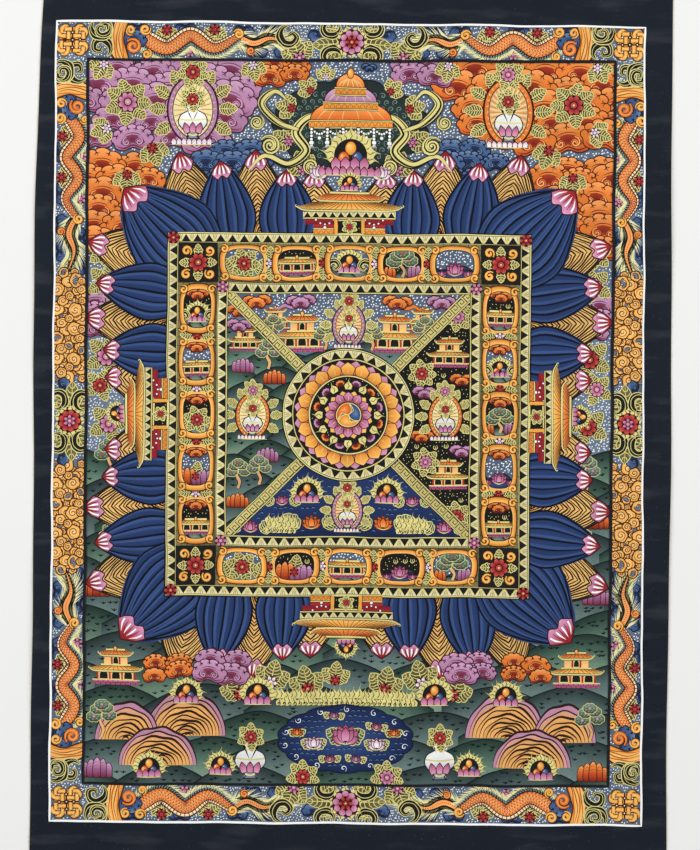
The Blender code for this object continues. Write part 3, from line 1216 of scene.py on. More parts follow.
def cartouche(place, half_width, half_height, content, dark):
    """A window in a scrolled frame: what stands in it, before hills and a slate sky or a dark one."""
    rim = superoval(half_width, half_height)
    tall = half_width < half_height
    fill("ground_colours", place, rim, [BLACK if dark else SLATE], kind=NIGHT if dark else SKY)
    with kept_inside(oval_of(place, half_width, half_height, 3.0)):
        low_hills(place.at(0, -half_height - 2), 2.2 * half_width, (0.95, 0.8)[tall] * half_height, 2 + tall)
        content(place.at(0, -half_height + (3.0, 5.0)[tall], size=(1.12, 0.98)[tall]))
        if tall:
            puff(place.at(0, half_height - 6), ORANGE, 0.32)
    ring = np.vstack([rim, rim[:1]])
    wash("ink_lines", place, between(ring * 0.92, ring * 1.25), [GOLDEN.line])
    gilt = [GOLDEN.light, GOLDEN.body, GOLDEN.deep]
    wash("body_colours", place, between(ring * 0.96, ring * 1.19, 3), gilt)
    for x, y, turn in ((1, 1, 20), (-1, 1, 110), (-1, -1, 200), (1, -1, 290)):
        scroll(place.at(x * half_width * 0.96, y * half_height * 0.94, turn), 4.2, GOLDEN, 1.2 * x * y, 2.2,
               "body_colours")


def superoval(half_width, half_height, squareness=3.0, count=36):
    a = np.linspace(0, math.tau, count, endpoint=False)
    c, s = np.cos(a), np.sin(a)
    reach = (np.abs(c) ** squareness + np.abs(s) ** squareness) ** (-1 / squareness)
    return np.column_stack([c * reach * half_width, s * reach * half_height])


def panel_row(track, length, first):
    """Five framed windows along one side of the court, between brickwork. Every scene stands upright."""
    brick_rows(track, length, PANEL_DEPTH, 7, 8.0, MOSS)
    y = PANEL_DEPTH / 2
    half = (19.5, 14.0) if abs(track.matrix[0, 0]) > 0.5 else (14.0, 19.5)
    for k in range(5):
        x = length / 2 + 50.0 * (k - 2)
        scene = PANEL_SCENES[(first + k) % len(PANEL_SCENES)]
        cartouche(track.upright(x, y), *half, scene, (first + k) % 2 == 1)
        if k < 4:
            for side in (1, -1):
                leaf(track.at(x + 25, y + 2 * side, 90 - 90 * side), 14, 8)
            peony(track.at(x + 25, y), 4.4, (PALE, CRIMSON)[k % 2], 6)


def scene_spray(place):
    for x, turn in ((-12, 22), (12, -22)):
        leaf(place.at(x, 0, turn), 15, 9)
    spray(place.at(0, 9), 5.6, CRIMSON, 6, 20)


def scene_hall(place):
    for x, turn in ((-17, 14), (17, -14)):
        leaf(place.at(x, 1, turn), 15, 8)
    pavilion(place.at(0, 0, size=0.74), 42, 1)


def scene_jewels(place):
    burning_jewels(place.at(0, 6, size=0.92))
    for side in (-1, 1):
        curl_leaf(place.at(14 * side, 0, -12 * side, 0.7, side > 0))


def scene_tree(place):
    rock(place.at(12, -2, size=0.7), MAUVE, 4)
    rock(place.at(-12, -2, size=0.6), ORANGE, 4)
    tree(place.at(0, -1), 21, JADE, CRIMSON)


def scene_lotus(place):
    pool(place, oval(40, 12, (0, 0)))
    lotus(place.at(0, 2), 20, PINK)
    for x in (-11, 11):
        lotus(place.at(x, 0), 11, PINK, 3)


def scene_rocks(place):
    leaf(place.at(0, 5, -8), 15, 9)
    rock(place.at(-8, -2, size=0.95), ORANGE, 5)
    rock(place.at(8, -3, size=0.85), MAUVE, 5)
    peony(place.at(0, 5), 3.6, CRIMSON, 6)


PANEL_SCENES = (scene_spray, scene_hall, scene_jewels, scene_tree, scene_lotus, scene_hall, scene_rocks)


def corner_rose(place):
    fill("ink_lines", place, straights((-19, -19), (19, -19), (19, 19), (-19, 19), closed=True), [BLACK])
    for k in range(4):
        scroll(place.at(turn=90 * k + 45).at(0, 15.5, -90), 5.0, GOLDEN, 1.3, 2.6, "body_colours")
    for k in range(4):
        leaf(place.at(turn=90 * k).at(0, 6), 11.5, 7.0)
    peony(place, 8.4, CRIMSON)


def heart(place):
    """The round middle of the court."""
    fill("ink_lines", place, oval(2 * HEART + 3, 2 * HEART + 3, count=90), [INK], rings=10)
    ring = HEART - TRIANGLES
    triangle_band(Round(place, ring), math.tau * ring, TRIANGLES, 11)
    petal_band(Round(place, ring - 14.5), math.tau * (ring - 14.5), 13.5, (GOLDEN, PINK), 20)
    night = ring - 16
    fill("ground_colours", place, oval(2 * night, 2 * night, count=60), [BLACK], rings=5, kind=NIGHT)
    outline(place, oval(2 * night, 2 * night, count=70), 1.2, GOLD, "gold_lines")
    for k in range(12):
        flame(place.at(turn=30 * k).at(0, night - 12.5), 11, 6.5)
    for k in range(12):
        cloud_head(place.at(turn=30 * k + 15).at(0, night - 6.5, size=0.24), (ORANGE, MAUVE)[k % 2], 5)
    petal_band(Round(place, 13), math.tau * 13, 10.5, (PINK, GOLDEN), 12)
    fill("ink_lines", place, oval(26, 26, count=32), [INK], rings=2)
    for k, shades in enumerate((ORANGE, GOLDEN, CLOUD_BLUE)):
        swirl = place.at(turn=120 * k)
        comma = np.vstack([arc(11.5, 90, 205, step=1.5), bend([(-10.4, -4.9), (-6, 1.5), (0, 0), (2.5, 5.5),
                                                               (0, 11.5)], 1.5)[1:-1]])
        fill("body_colours", swirl, comma, [shades.light, shades.body, shades.deep], (-4.5, 4.8))
        outline(swirl, comma, 0.8, GOLD, "gold_lines")


def quadrant_sky(place):
    """A disc of light between halls and trees, under the clouds."""
    ground(place, (-118, 25), (118, 118), (SLATE, SLATE_PALE), SKY, 60)
    low_hills(place.at(0, 40), 190, 30, 3)
    for x, y, size in ((-70, 80, 0.62), (70, 80, 0.62), (-44, 60, 1.0), (44, 60, 1.0)):
        pavilion(place.at(x, y, size=size), 42, 2)
    for x in (-72, 72, -22, 22):
        tree(place.at(x, 70 if abs(x) > 50 else 62, size=0.8), 27)
    disc_of_light(place.at(0, 85, size=0.60), 50, 68, MAUVE, TAN)
    for x, shades in ((-88, ORANGE), (88, MAUVE), (-46, MAUVE), (46, ORANGE)):
        cloudlet(place.at(x, 108, 0, 0.9, x < 0), shades)


def quadrant_land(place):
    """Wooded hills with rocks and blossom, and a disc of light on them."""
    ground(place, (-118, -118), (-10, 118), (SLATE_PALE, SLATE), SKY, 60)
    for row, y in enumerate(np.arange(88, -104, -14)):
        for x in (-108 + 16 * (row % 3), -66 + 16 * (row % 3)):
            crest = [(x - 34, y - 18), (x - 16, y - 5), (x, y), (x + 17, y - 6), (x + 34, y - 18)]
            hill(place, crest, y - 40, (GREEN, JADE)[(row + (x > -80)) % 2])
    pavilion(place.at(-98, 60, size=0.66), 42, 2)
    for x, y, shades in ((-100, 40, MAUVE), (-70, 30, ORANGE), (-76, -44, MAUVE), (-104, -88, ORANGE)):
        rock(place.at(x, y, size=0.8), shades, 5)
    for x, y in ((-76, 44), (-104, -70), (-84, -66)):
        tree(place.at(x, y, 0, 0.86), 28, JADE, (CRIMSON, PINK)[x > -90])
    disc_of_light(place.at(-91, -1, size=0.62), 50, 68, ORANGE, GOLD_PALE)
    for y in (98, 84):
        puff(place.at(-104, y), (ORANGE, MAUVE)[y < 90], 0.36)


def quadrant_water(place):
    """Lotuses, flames and a disc of light on deep water."""
    ground(place, (-118, -118), (118, -25), (NAVY.deep, NAVY.body, NAVY.deep), WATER, 60)
    for x, y, wide, shades in ((-34, -106, 24, ORANGE), (34, -106, 24, ORANGE), (-92, -110, 20, PINK),
                               (92, -110, 20, PINK), (-62, -84, 17, PINK), (62, -84, 17, PINK)):
        for side in (-1, 1):
            pad = place.at(x + side * 0.5 * wide, y - 1, -side * 50)
            leaf(pad, 0.8 * wide, 0.55 * wide, LILY_LEAF)
        lotus(place.at(x, y), wide, shades)
    for x in (-62, 62):
        fire_wall(place.at(x, -112), 26, 3, 9)
    for x in (-38, 38):
        burning_jewels(place.at(x, -78, size=1.1))
    disc_of_light(place.at(0, -91, size=0.56), 50, 68, MAUVE, TAN)


def quadrant_night(place):
    """A garden at night: a disc of light, halls, flowers and gold sprigs on black."""
    ground(place, (10, -118), (118, 118), (BLACK,), NIGHT, 60)
    for y in (-70, 46):
        pavilion(place.at(96, y, size=0.78), 44, 2)
    for x, y, r, shades in ((104, 94, 6.0, PINK), (104, -96, 6.0, CRIMSON), (70, 40, 5.6, CRIMSON),
                            (74, -44, 5.6, PINK)):
        spray(place.at(x, y), r, shades, 7, 10)
    for x, y, shades in ((108, 34, ORANGE), (108, -34, MAUVE), (72, 22, MAUVE), (70, -20, ORANGE)):
        puff(place.at(x, y), shades, 0.34)
    disc_of_light(place.at(92, -1, size=0.62), 50, 68, ORANGE, GOLD_PALE)


def gate(place):
    """A stepped gate on the middle of one side, with a pearl-hung porch and its roofs."""
    for half, low, high in ((34, -1, 9), (42, 9, 18)):
        walls = between(straight((-half, high), (half, high)), straight((-half, low), (half, low)), 3)
        wash("body_colours", place, walls, [CRIMSON.body, CRIMSON.deep])
    triangle_band(place.at(-44, 15), 88, 7.0, 8)
    strap_band(place.at(-34, -1), 68, 6.0)
    door = straights((-13, 0), (13, 0), (13, 13), (-13, 13), closed=True)
    fill("ground_colours", place, door, [BLACK], kind=NIGHT)
    outline(place, door, 1.2, GOLD, "gold_lines")
    for x in (-23.5, 23.5):
        pearl_swag(place.at(x, 13.4), 17, 4.2)
    for x in (-13, 13):
        outlined(place, straight((x, 0), (x, 14)), 3.2, GOLDEN.body, INK, 0.6, (1, 1))
    spray(place.at(0, 6.5, size=0.9), 3.4, CRIMSON, 6)
    roof(place.at(0, 22), 84, 9, GOLDEN)
    roof(place.at(0, 31), 56, 8, ORANGE)
    burning_jewels(place.at(0, 45, 0, 0.8))


def court(place):
    """The square court: four views round a round heart, framed by bands and windows."""
    square = straights((-COURT_HALF, -COURT_HALF), (COURT_HALF, -COURT_HALF), (COURT_HALF, COURT_HALF),
                       (-COURT_HALF, COURT_HALF), closed=True, step=60)
    fill("ground_colours", place, square * 1.008, [INK], (0, 0), rings=1)
    for k, quadrant in enumerate((quadrant_sky, quadrant_land, quadrant_water, quadrant_night)):
        view = place.at(turn=90 * k)
        wedge = [side_of(view.of((0, 0)), view.of((s, -1)) - view.of((0, 0))) for s in (-1, 1)]
        with kept_inside(*wedge, side_of(view.of((0, INNER_HALF)), view.of((0, 1)) - view.of((0, 0)))):
            quadrant(place)
    for k in range(4):
        fret_band(place.at(turn=45 + 90 * k).at(HEART - 4, -4.5), INNER_HALF * math.sqrt(2) - HEART + 4, 9.0)
    heart(place)
    middle = COURT_HALF - TRIANGLES - PANEL_DEPTH / 2
    for k in range(4):
        side = place.at(turn=90 * k)
        for half in (INNER_HALF + TRIANGLES, COURT_HALF):
            triangle_band(side.at(-half, half - TRIANGLES), 2 * half)
        reach = COURT_HALF - TRIANGLES
        panel_row(side.at(-reach, reach - PANEL_DEPTH), 2 * reach, 5 * k)
    for k in range(4):
        side = place.at(turn=90 * k)
        corner_rose(side.at(middle, middle))
        peony(side.at(COURT_HALF - 4.5, COURT_HALF - 4.5), 5.6, CRIMSON, 6)
        peony(side.at(INNER_HALF + 4.5, INNER_HALF + 4.5), 5.2, PINK, 6)
        gate(side.at(0, COURT_HALF))


# ---------------------------------------------------------------- the field round the court

# Corners of the inner frame and of the white outline, hand-drawn and so not quite square: top left,
# top right, bottom right, bottom left.
FIELD = np.array([(-249.8, 344.3), (251.5, 345.8), (250.1, -342.8), (-248.9, -344.1)])
PICTURE = np.array([(-280.1, 380.6), (279.2, 378.8), (281.6, -379.6), (-280.8, -379.9)])


def side_limits(corners):
    """The limits that hold paint inside four corners, given clockwise from the top left."""
    rules = []
    for a, b in zip(corners, np.roll(corners, -1, 0)):
        rules.append(side_of(a, (a[1] - b[1], b[0] - a[0])))
    return rules


def far_land(place):
    """Rounded hills one before another, from the court's waist down."""
    for row, y in enumerate(np.arange(-24, -345, -25)):
        for k in range(-3, 4):
            x = 88 * k + 44 * (row % 2) + hand.uniform(-12, 12)
            wide, tall = hand.uniform(100, 128), hand.uniform(18, 26)
            crest = [(x - 0.5 * wide, y - tall), (x - 0.27 * wide, y - 0.35 * tall), (x, y),
                     (x + 0.24 * wide, y - 0.30 * tall), (x + 0.5 * wide, y - tall)]
            hill(place, crest, y - tall - 36, (GREEN, JADE)[(row + k) % 3 == 0])


def pond(place, width, height):
    """A piece of open water, with small curled waves along its bank."""
    edge = lobes(width, height, 14, 0, 360, 0.05, each=6)[:-1]
    pool(place, edge)
    with one_coat():
        for k in range(14):
            angle = math.tau * k / 14 + 0.2
            roll = place.at(0.47 * width * math.cos(angle), 0.45 * height * math.sin(angle))
            stroke("white_touches", roll, spiral(3.4, 40 + 26 * k, 1.1), 0.7, SPECKLE, (0.3, 0.6))


def sky_and_clouds(place):
    """Banks of cloud from the upper corners down both sides, and smaller ones between."""
    upper = ((42, 12, 4, 45), (26, -6, 5, 45), (10, 8, 5, 45), (-6, -4, 5, 45), (-22, 8, 4, 45),
             (-38, -10, 4, 45))
    side_bank = ((40, 4, 2, 40), (26, 6, 3, 40), (10, 6, 2, 40), (-6, 4, 2, 40), (-22, -2, 2, 40),
                 (-38, 0, 2, 38))
    for side, far, near in ((-1, MAUVE, ORANGE), (1, ORANGE, MAUVE)):
        half = place.at(flip=side > 0)
        cloud_bank(half.at(-180, 308), upper, far)
        cloud_bank(half.at(-226, 204), side_bank, ORANGE)
        cloud_bank(half.at(-224, 88), ((26, -4, 2, 30), (14, -6, 2, 30), (2, -2, 2, 28)), MAUVE)
        cloud_bank(half.at(-108, 244), ((14, 0, 2, 30), (2, -5, 3, 30), (-10, 0, 2, 28)), CLOUD_BLUE)
        cloud_bank(half.at(-62, 332), ((10, 0, 2, 30), (-2, -4, 2, 30)), near)


def disc_of_light(place, width, height, rim, glow):
    """An upright oval of gold rays with a coloured rim, with a white vase of flowers before it."""
    for turn in (-58, -28, 28, 58, 88, -88, 122, -122):
        leaf(place.at(turn=turn).at(0, 0.40 * height), 19, 11)
    fill("ink_lines", place, oval(width * 1.08, height * 1.05, count=36), [rim.line])
    fill("body_colours", place, oval(width, height, count=36), [rim.deep, rim.deep, rim.body])
    inner = oval(width * 0.80, height * 0.84, count=56)
    fill("ink_lines", place, inner * 1.04, [rim.line])
    fill("body_colours", place, inner, [GOLDEN.light, glow])
    with one_coat():
        for k, tip in enumerate(inner):
            stroke("gold_lines" if k % 2 else "fine_lines", place,
                   np.array([tip * 0.30, tip * 0.62 + (0.6 * math.sin(3 * k), 0), tip * 0.97]),
                   0.9 if k % 2 else 0.6, GOLD_PALE if k % 2 else ORANGE.deep, (0.3, 0.9))
    with one_coat():
        for k in range(30):
            a = math.tau * k / 30
            dot = (0.45 * width * math.cos(a), 0.46 * height * math.sin(a))
            stroke("gold_lines", place.at(*dot), arc(1.2, 40 * k, 40 * k + 220), 0.6, GOLD, (0.8, 0.5))
    lotus_seat(place.at(0, -0.50 * height - 2), 0.9 * width, PALE)
    vase(place.at(0, -0.44 * height), 0.64 * height, PORCELAIN)
    spray(place.at(0, 0.5 * height + 5), 7.0, CRIMSON if rim is MAUVE else PINK, 7)


def vase(place, height, shades):
    """A treasure vase with gold bands and petals, and a flower in its mouth."""
    turned = [(0.17, 0), (0.11, 0.08), (0.33, 0.34), (0.29, 0.56), (0.11, 0.68), (0.21, 0.80)]
    profile = bend(turned, 0.09) * height
    edge = np.vstack([profile, (profile * (-1, 1))[::-1]])
    for turn in (48, -48):
        leaf(place.at(0, 0.80 * height, turn), 0.34 * height, 0.20 * height)
    fill("body_colours", place, edge, None, (0, 0.4 * height),
         by_height(0, 0.8 * height, shades.core, shades.body, shades.light))
    outline(place, edge, 1.0, shades.line)
    with one_coat():
        for y, half in ((0.10, 0.11), (0.46, 0.32), (0.68, 0.11), (0.80, 0.21)):
            reach, level = half * height, y * height
            band = bend([(-reach, level), (0, (y - 0.03) * height), (reach, level)], 6)
            stroke("gold_lines", place, band, 1.4, GOLD, (1, 1))
    for k in (-1, 1, 0):
        bud(place.at(0.13 * k * height, 0.13 * height, -14 * k), 0.26 * height, 0.15 * height, PINK)
    spray(place.at(0, 0.94 * height), 0.13 * height, CRIMSON, 6)


def canopy(place):
    """A tiered parasol over flaming jewels, on a dark curled halo, with pearls and silk ribbons."""
    halo = lobes(112, 66, 17, 0, 360, 0.07, (0, 8), each=5)[:-1]
    fill("ink_lines", place, halo * 1.02, [GREEN.line], (0, 8))
    fill("body_colours", place, halo, [JADE.deep, GREEN.core], (0, 8))
    with one_coat():
        for row, y in enumerate(np.arange(-16, 40, 5.2)):
            for x in np.arange(-49 + 3.2 * (row % 2), 50, 6.4):
                if (x / 51) ** 2 + ((y - 8) / 29) ** 2 < 1:
                    curl = place.at(x, y, 70 * math.sin(3 * x + y), 1.0, x < 0)
                    stroke("body_colours", curl, spiral(2.5, 200, -1.2), 0.7, GREEN.light, (0.6, 0.5))
    for side in (-1, 1):
        silk = place.at(flip=side < 0)
        for x, y, turn, size in ((38, -21, -20, 1.1), (52, -2, -60, 1.0), (50, 22, -75, 0.9),
                                 (34, 37, -50, 0.8)):
            leaf_fan(silk.at(x, y, turn, size), 15, 3, (PINK, CRIMSON)[int(y > 0)])
        ribbon(silk, [(12, 6), (30, 14), (42, 2), (34, -12), (48, -22), (66, -16), (78, -28)], 8.5)
        ribbon(silk, [(40, 4), (56, 10), (68, 24), (58, 34), (48, 26)], 7.0)
        gilded_curl(silk.at(62, -8, 30), 8.0)
        gilded_curl(silk.at(30, -24, 200), 6.5)
        gilded_curl(silk.at(72, 10, 120), 6.0)
        lotus(silk.at(24, -32), 20, PALE)
    for half, foot, tall, shades in ((31, 8, 15, ORANGE), (20, 22, 12, MAUVE), (11, 33, 10, ORANGE)):
        dome = np.vstack([arc(half, 0, 180, (0, foot + 4), tall / half), [(-half, foot)], [(half, foot)]])
        fill("body_colours", place, dome, None, (0, foot + 5),
             by_height(foot, foot + tall, shades.deep, shades.body, shades.light))
        outline(place, dome, 1.0, shades.line)
        with one_coat():
            for turn in (-56, -34, -12, 12, 34, 56):
                lean = math.sin(math.radians(turn))
                fold = bend([(0.2 * half * lean, foot + tall), (0.75 * half * lean, foot + 0.7 * tall),
                             (half * lean * 1.04, foot + 3)], 3)
                stroke("gold_lines", place, fold, 0.8, GOLD)
        strap_band(place.at(-half - 1, foot - 2.5), 2 * half + 2, 5.5)
    for x in np.linspace(-24, 24, 5):
        pearl_swag(place.at(x, 5.0), 11, 4.0, 7)
    for x in (-30, -18, -6, 6, 18, 30):
        pearl_fall(place.at(x, 4.5), 9 if abs(x) > 10 else 6)
    jewel(place.at(0, 47), GOLDEN, 5, 8)
    burning_jewels(place.at(0, -20, 0, 1.35))
    lotus_seat(place.at(0, -31), 48)


def side_groves(place):
    """Trees, rocks, halls and flowers on the hills at both sides of the court, and flowers above them."""
    for x, y, s in ((-226, -52, 1.05), (-222, -128, 1.0), (226, -66, 1.05), (222, -132, 1.0)):
        tree(place.at(x, y, 0, s), 32, (JADE, GREEN)[x > 0], (CRIMSON, PINK)[x > 0])
    for x, y, shades in ((-236, -88, MAUVE), (236, -98, ORANGE), (-238, -166, ORANGE), (238, -170, MAUVE)):
        rock(place.at(x, y), shades, 5)
    for side in (-1, 1):
        pavilion(place.at(side * 219, -250, 0, 0.95), 44, 2)
        for x, y, radius in ((232, 132, 7.5), (230, 62, 8.5), (236, 34, 6.5), (228, -2, 8.0)):
            spray(place.at(side * x, y), radius, (CRIMSON, PINK)[(side > 0) ^ (radius > 7.8)], 5, 20 * side)


def cloud_flowers(place):
    """Flowers and broad leaves along the edges of the cloud banks."""
    for side in (-1, 1):
        half = place.at(flip=side > 0)
        for x, y, turn, length in ((-238, 334, 150, 18), (-186, 254, 200, 20), (-238, 276, 110, 18),
                                   (-212, 228, 180, 19), (-238, 158, 130, 18), (-92, 334, 190, 17)):
            leaf_fan(half.at(x, y, turn), length, 3, (PALE, CRIMSON)[int(length > 18)])
        spray(half.at(-212, 304), 9.0, (PINK, CRIMSON)[side > 0], 7, 15)


def foreground(place):
    """Mounds, flames, a pond, jewels and flowers along the foot of the picture."""
    for side in (-1, 1):
        for x, y, wide, tall in ((152, -298, 76, 42), (208, -302, 60, 36), (178, -326, 74, 36)):
            banded_mound(place.at(side * x, y), wide, tall)
    for x, y, turn in ((-104, -250, 22), (-70, -238, -14), (-38, -244, 12), (38, -244, -12), (70, -238, 14),
                       (104, -250, -22)):
        leaf_fan(place.at(x, y, turn), 24, 3, (CRIMSON, PALE)[int(abs(x) == 70)])
    fire_wall(place.at(0, -268), 132, 2, 12)
    pond(place.at(0, -300), 124, 62)
    for x, y, wide, shades in ((0, -302, 34, PINK), (-30, -308, 22, PALE), (30, -308, 22, PALE),
                               (-46, -296, 15, ORANGE), (46, -296, 15, ORANGE)):
        for turn in (-62, 62):
            leaf(place.at(x, y, turn), 0.62 * wide, 0.42 * wide, LILY_LEAF)
        lotus(place.at(x, y), wide, shades)
    for side in (-1, 1):
        tree(place.at(side * 232, -300, 0, 1.05), 30, JADE, PINK)
        vase(place.at(side * 90, -338), 42, PORCELAIN)
        for x, y, size in ((118, -330, 1.0), (84, -262, 1.2), (186, -332, 1.1), (152, -262, 1.1)):
            burning_jewels(place.at(side * x, y, 0, size))
        for x, y, shades in ((116, -236, MAUVE), (168, -236, ORANGE)):
            cloud_bank(place.at(side * x, y), ((8, 0, 2, 28), (-3, 4 * side, 2, 28)), shades)
        rock(place.at(side * 236, -338, size=1.1), (MAUVE, ORANGE)[side > 0], 5)
        spray(place.at(side * 40, -336), 6.5, (CRIMSON, PINK)[side > 0], 7)


# ---------------------------------------------------------------- the border

def border_half(place, half_length, depth):
    """Half of one side of the border, from the middle outwards along x, y from its inner to outer edge."""
    end, middle = half_length, depth / 2
    long = half_length > 300
    near, far = (150.0, end - 62) if long else (66.0, end - 60)
    xs = np.linspace(far + 8, near + 42, 6 if long else 5)
    ways = (-1.0) ** np.arange(len(xs))
    ys = middle + 0.17 * depth * ways
    for x, way in zip(xs[:-1] + 5, ways[:-1]):
        cloud_head(place.at(x, (0.5 + 0.31 * way) * depth, 90 + 90 * way, 0.56), CLOUD_BLUE, 5)
    for x, way in zip(xs[1:-1], ways[1:-1]):
        hollow = place.at(x, middle - 0.30 * depth * way)
        for turn in (56, 0, -56):
            leaf(hollow.at(0, 0, 90 - 90 * way + turn), 14, 9)
        peony(hollow, 4.8, (CRIMSON, PINK)[int(way > 0)], 6)
    way = ways[-1]
    for k, x in enumerate(np.arange(near - 2, xs[-1], 13.0)):
        cloud_head(place.at(x, (0.20, 0.80)[k % 2] * depth, 180 * (k % 2), 0.5), CLOUD_BLUE, 5)
    plume(place, [(xs[-1] + 3, ys[-1]), (near + 28, middle - 0.05 * depth * way),
                  (near + 10, middle + 0.10 * depth * way), (near - 14, middle - 0.16 * depth * way)], 10.5)
    garland(place, np.column_stack([xs, ys]), 0.44 * depth, ORANGE)
    cloud_head(place.at(far + 17, middle + 1, 6, 0.66), CLOUD_BLUE, 6)
    curls = ((far + 17, middle - 5, 40, 7.5, ORANGE), (far + 4, middle - 12, 100, 4.6, GOLDEN),
             (far + 6, middle + 11, 160, 5.4, GOLDEN), (far + 20, middle + 10, 250, 5.0, GOLDEN),
             (near + 42, middle + 7 * way, 20, 5.0, GOLDEN), (near + 30, middle - 9 * way, 200, 4.0, ORANGE))
    for x, y, turn, radius, shades in curls:
        scroll(place.at(x, y, turn), radius, shades, 1.5, 0.5 * radius)
    hoop(place.at(end - 31, 0), depth)
    for x, y, turn, flip, size in ((end - 18, 2, -16, False, 19), (end - 5, depth + 1, 152, False, 20),
                                   (end - 19, depth - 2, 206, True, 14)):
        curl_leaf(place.at(x, y, turn, 1.0, flip), size)
    if long:
        scrollwork(place.at(40, 0), near - 40 - 10, depth, GOLDEN)
    else:
        leaf_fan(place.at(52, 10, -20), 22, 3, PINK)
        curl_leaf(place.at(60, depth - 1, 196), 20)


def border_middle(place, depth, shades):
    """The flower with dark and golden wings at the middle of a side."""
    for side in (-1, 1):
        wing = place.at(flip=side < 0)
        cloud_head(wing.at(32, depth * 0.70, 180, 0.50), CLOUD_BLUE, 5)
        for turn, length in ((-140, 22), (-44, 22), (-122, 28), (-62, 28), (-92, 34)):
            leaf(wing.at(4, depth * 0.46, turn), length, 0.42 * length)
        curl_leaf(wing.at(10, 0, -50), 19)
        curl_leaf(wing.at(12, depth, -132, 1.0, True), 18)
    for k in range(9):
        flame(place.at(0, depth * 0.5, 40 * k + 20).at(0, depth * 0.30), 8, 6)
    peony(place.at(0, depth * 0.50), depth * 0.33, shades, 9)
    peony(place.at(0, depth * 0.50), depth * 0.17, (CRIMSON, PINK)[shades is CRIMSON], 6)


def border(place):
    for k in range(4):
        edge = straight(FIELD[k], FIELD[(k + 1) % 4], 4)
        rim = PICTURE[k] + (PICTURE[(k + 1) % 4] - PICTURE[k]) * np.linspace(0, 1, len(edge))[:, None]
        wash("border_colours", place, between(edge, rim, 9), [SLATE, SLATE_PALE, SLATE], BORDER)
    for k, (turn, shades) in enumerate(((0, PINK), (-90, CRIMSON), (180, PINK), (90, CRIMSON))):
        a, b = FIELD[k], FIELD[(k + 1) % 4]
        side = place.at(*(a + b) / 2, turn)
        depth = side.back((PICTURE[k] + PICTURE[(k + 1) % 4])[None] / 2)[0, 1]
        half = np.hypot(*(b - a)) / 2
        with kept_inside(side_of(side.of((0, 0.5)), side.of((0, -1)) - side.of((0, 0)))):
            for flip in (False, True):
                border_half(side.at(flip=flip), half, depth)
            border_middle(side, depth, shades)
    for a, b in zip(FIELD, PICTURE):
        knot(place.at(*(a + b) / 2))


def plume(place, points, width):
    """A dark curling plume, feathered in gold along both sides, with a dotted orange rib."""
    line = bend(points, 3.0)
    for reach in (width, -width):
        feather_fringe(place, line[1:-1], reach, GOLD_PALE, -1.0, 1.2)
    stroke("ink_lines", place, line, 1.15 * width, BLACK, (0.7, 0.1))
    for reach in (0.62 * width, -0.62 * width):
        feather_fringe(place, line[2:-3], reach, OLIVE, -1.4, 3.4)
    stroke("ink_lines", place, line[:-2], 0.72 * width, BLACK, (1.0, 0.1))
    stroke("border_colours", place, line[:-3], 0.42 * width, ORANGE.light, (1.0, 0.1))
    with one_coat():
        for point in line[:-6]:
            fill("fine_lines", place, oval(1.1, 1.1, point, 5), [CRIMSON.deep])


def frame_lines(place):
    """The dark inner line and the white outline, both ruled by hand."""
    stroke("ink_lines", place, straights(*FIELD, closed=True, step=5), 2.7, INK, closed=True)
    stroke("white_touches", place, straights(*PICTURE, closed=True, step=5), 1.9, WHITE, closed=True)


# ---------------------------------------------------------------- small marks where ground shows

def free_places(kind, spacing, clearance, drift=0.35):
    """Scattered spots where a kind of ground still shows for the clearance on every side."""
    pad = max(1, int(round(clearance / CELL)))
    shows = np.pad((top_kind == kind).astype(np.int32), ((1, 0), (1, 0)))
    total = shows.cumsum(0).cumsum(1)
    inset = 8
    u, v = np.meshgrid(np.arange(-HALF_U + inset, HALF_U - inset, spacing),
                       np.arange(-HALF_V + inset, HALF_V - inset, spacing))
    u = u + spacing * (0.5 * (np.arange(len(u)) % 2))[:, None]
    u = (u + hand.uniform(-drift, drift, u.shape) * spacing).ravel()
    v = (v + hand.uniform(-drift, drift, v.shape) * spacing).ravel()
    col = np.clip(((u + HALF_U) / CELL).astype(int), pad, shows.shape[1] - pad - 2)
    row = np.clip(((v + HALF_V) / CELL).astype(int), pad, shows.shape[0] - pad - 2)
    full = (2 * pad + 1) ** 2
    count = (total[row + pad + 1, col + pad + 1] - total[row - pad, col + pad + 1]
             - total[row + pad + 1, col - pad] + total[row - pad, col - pad])
    return np.column_stack([u, v])[count == full]


def speckles(kind, spacing, size):
    """Small pale dabs over the sky and the border's ground."""
    spots = free_places(kind, spacing, 0.6)
    turn = hand.uniform(-0.5, 0.9, len(spots))
    long = size * hand.uniform(0.8, 1.2, len(spots)) / 2
    dab = np.array([(-1.0, -0.1), (-0.1, -0.80), (1.0, 0.15), (0.1, 0.75)])
    c, s = np.cos(turn), np.sin(turn)
    x = dab[None, :, 0] * long[:, None]
    y = dab[None, :, 1] * long[:, None]
    points = np.stack([c[:, None] * x - s[:, None] * y, s[:, None] * x + c[:, None] * y], axis=-1)
    points = (points + spots[:, None]).reshape(-1, 2)
    first = 4 * np.arange(len(spots))[:, None, None]
    faces = (first + np.array([[0, 1, 2], [0, 2, 3]])).reshape(-1, 3)
    col = ((spots[:, 0] + HALF_U) / CELL).astype(int)
    row = ((spots[:, 1] + HALF_V) / CELL).astype(int)
    level = np.repeat(coats[row, col] + 1, 4)
    shade = np.minimum(SPECKLE * np.repeat(hand.uniform(0.88, 1.1, len(spots)), 4)[:, None], 1.0)
    skins["white_touches"].append((points, faces, shade, level))


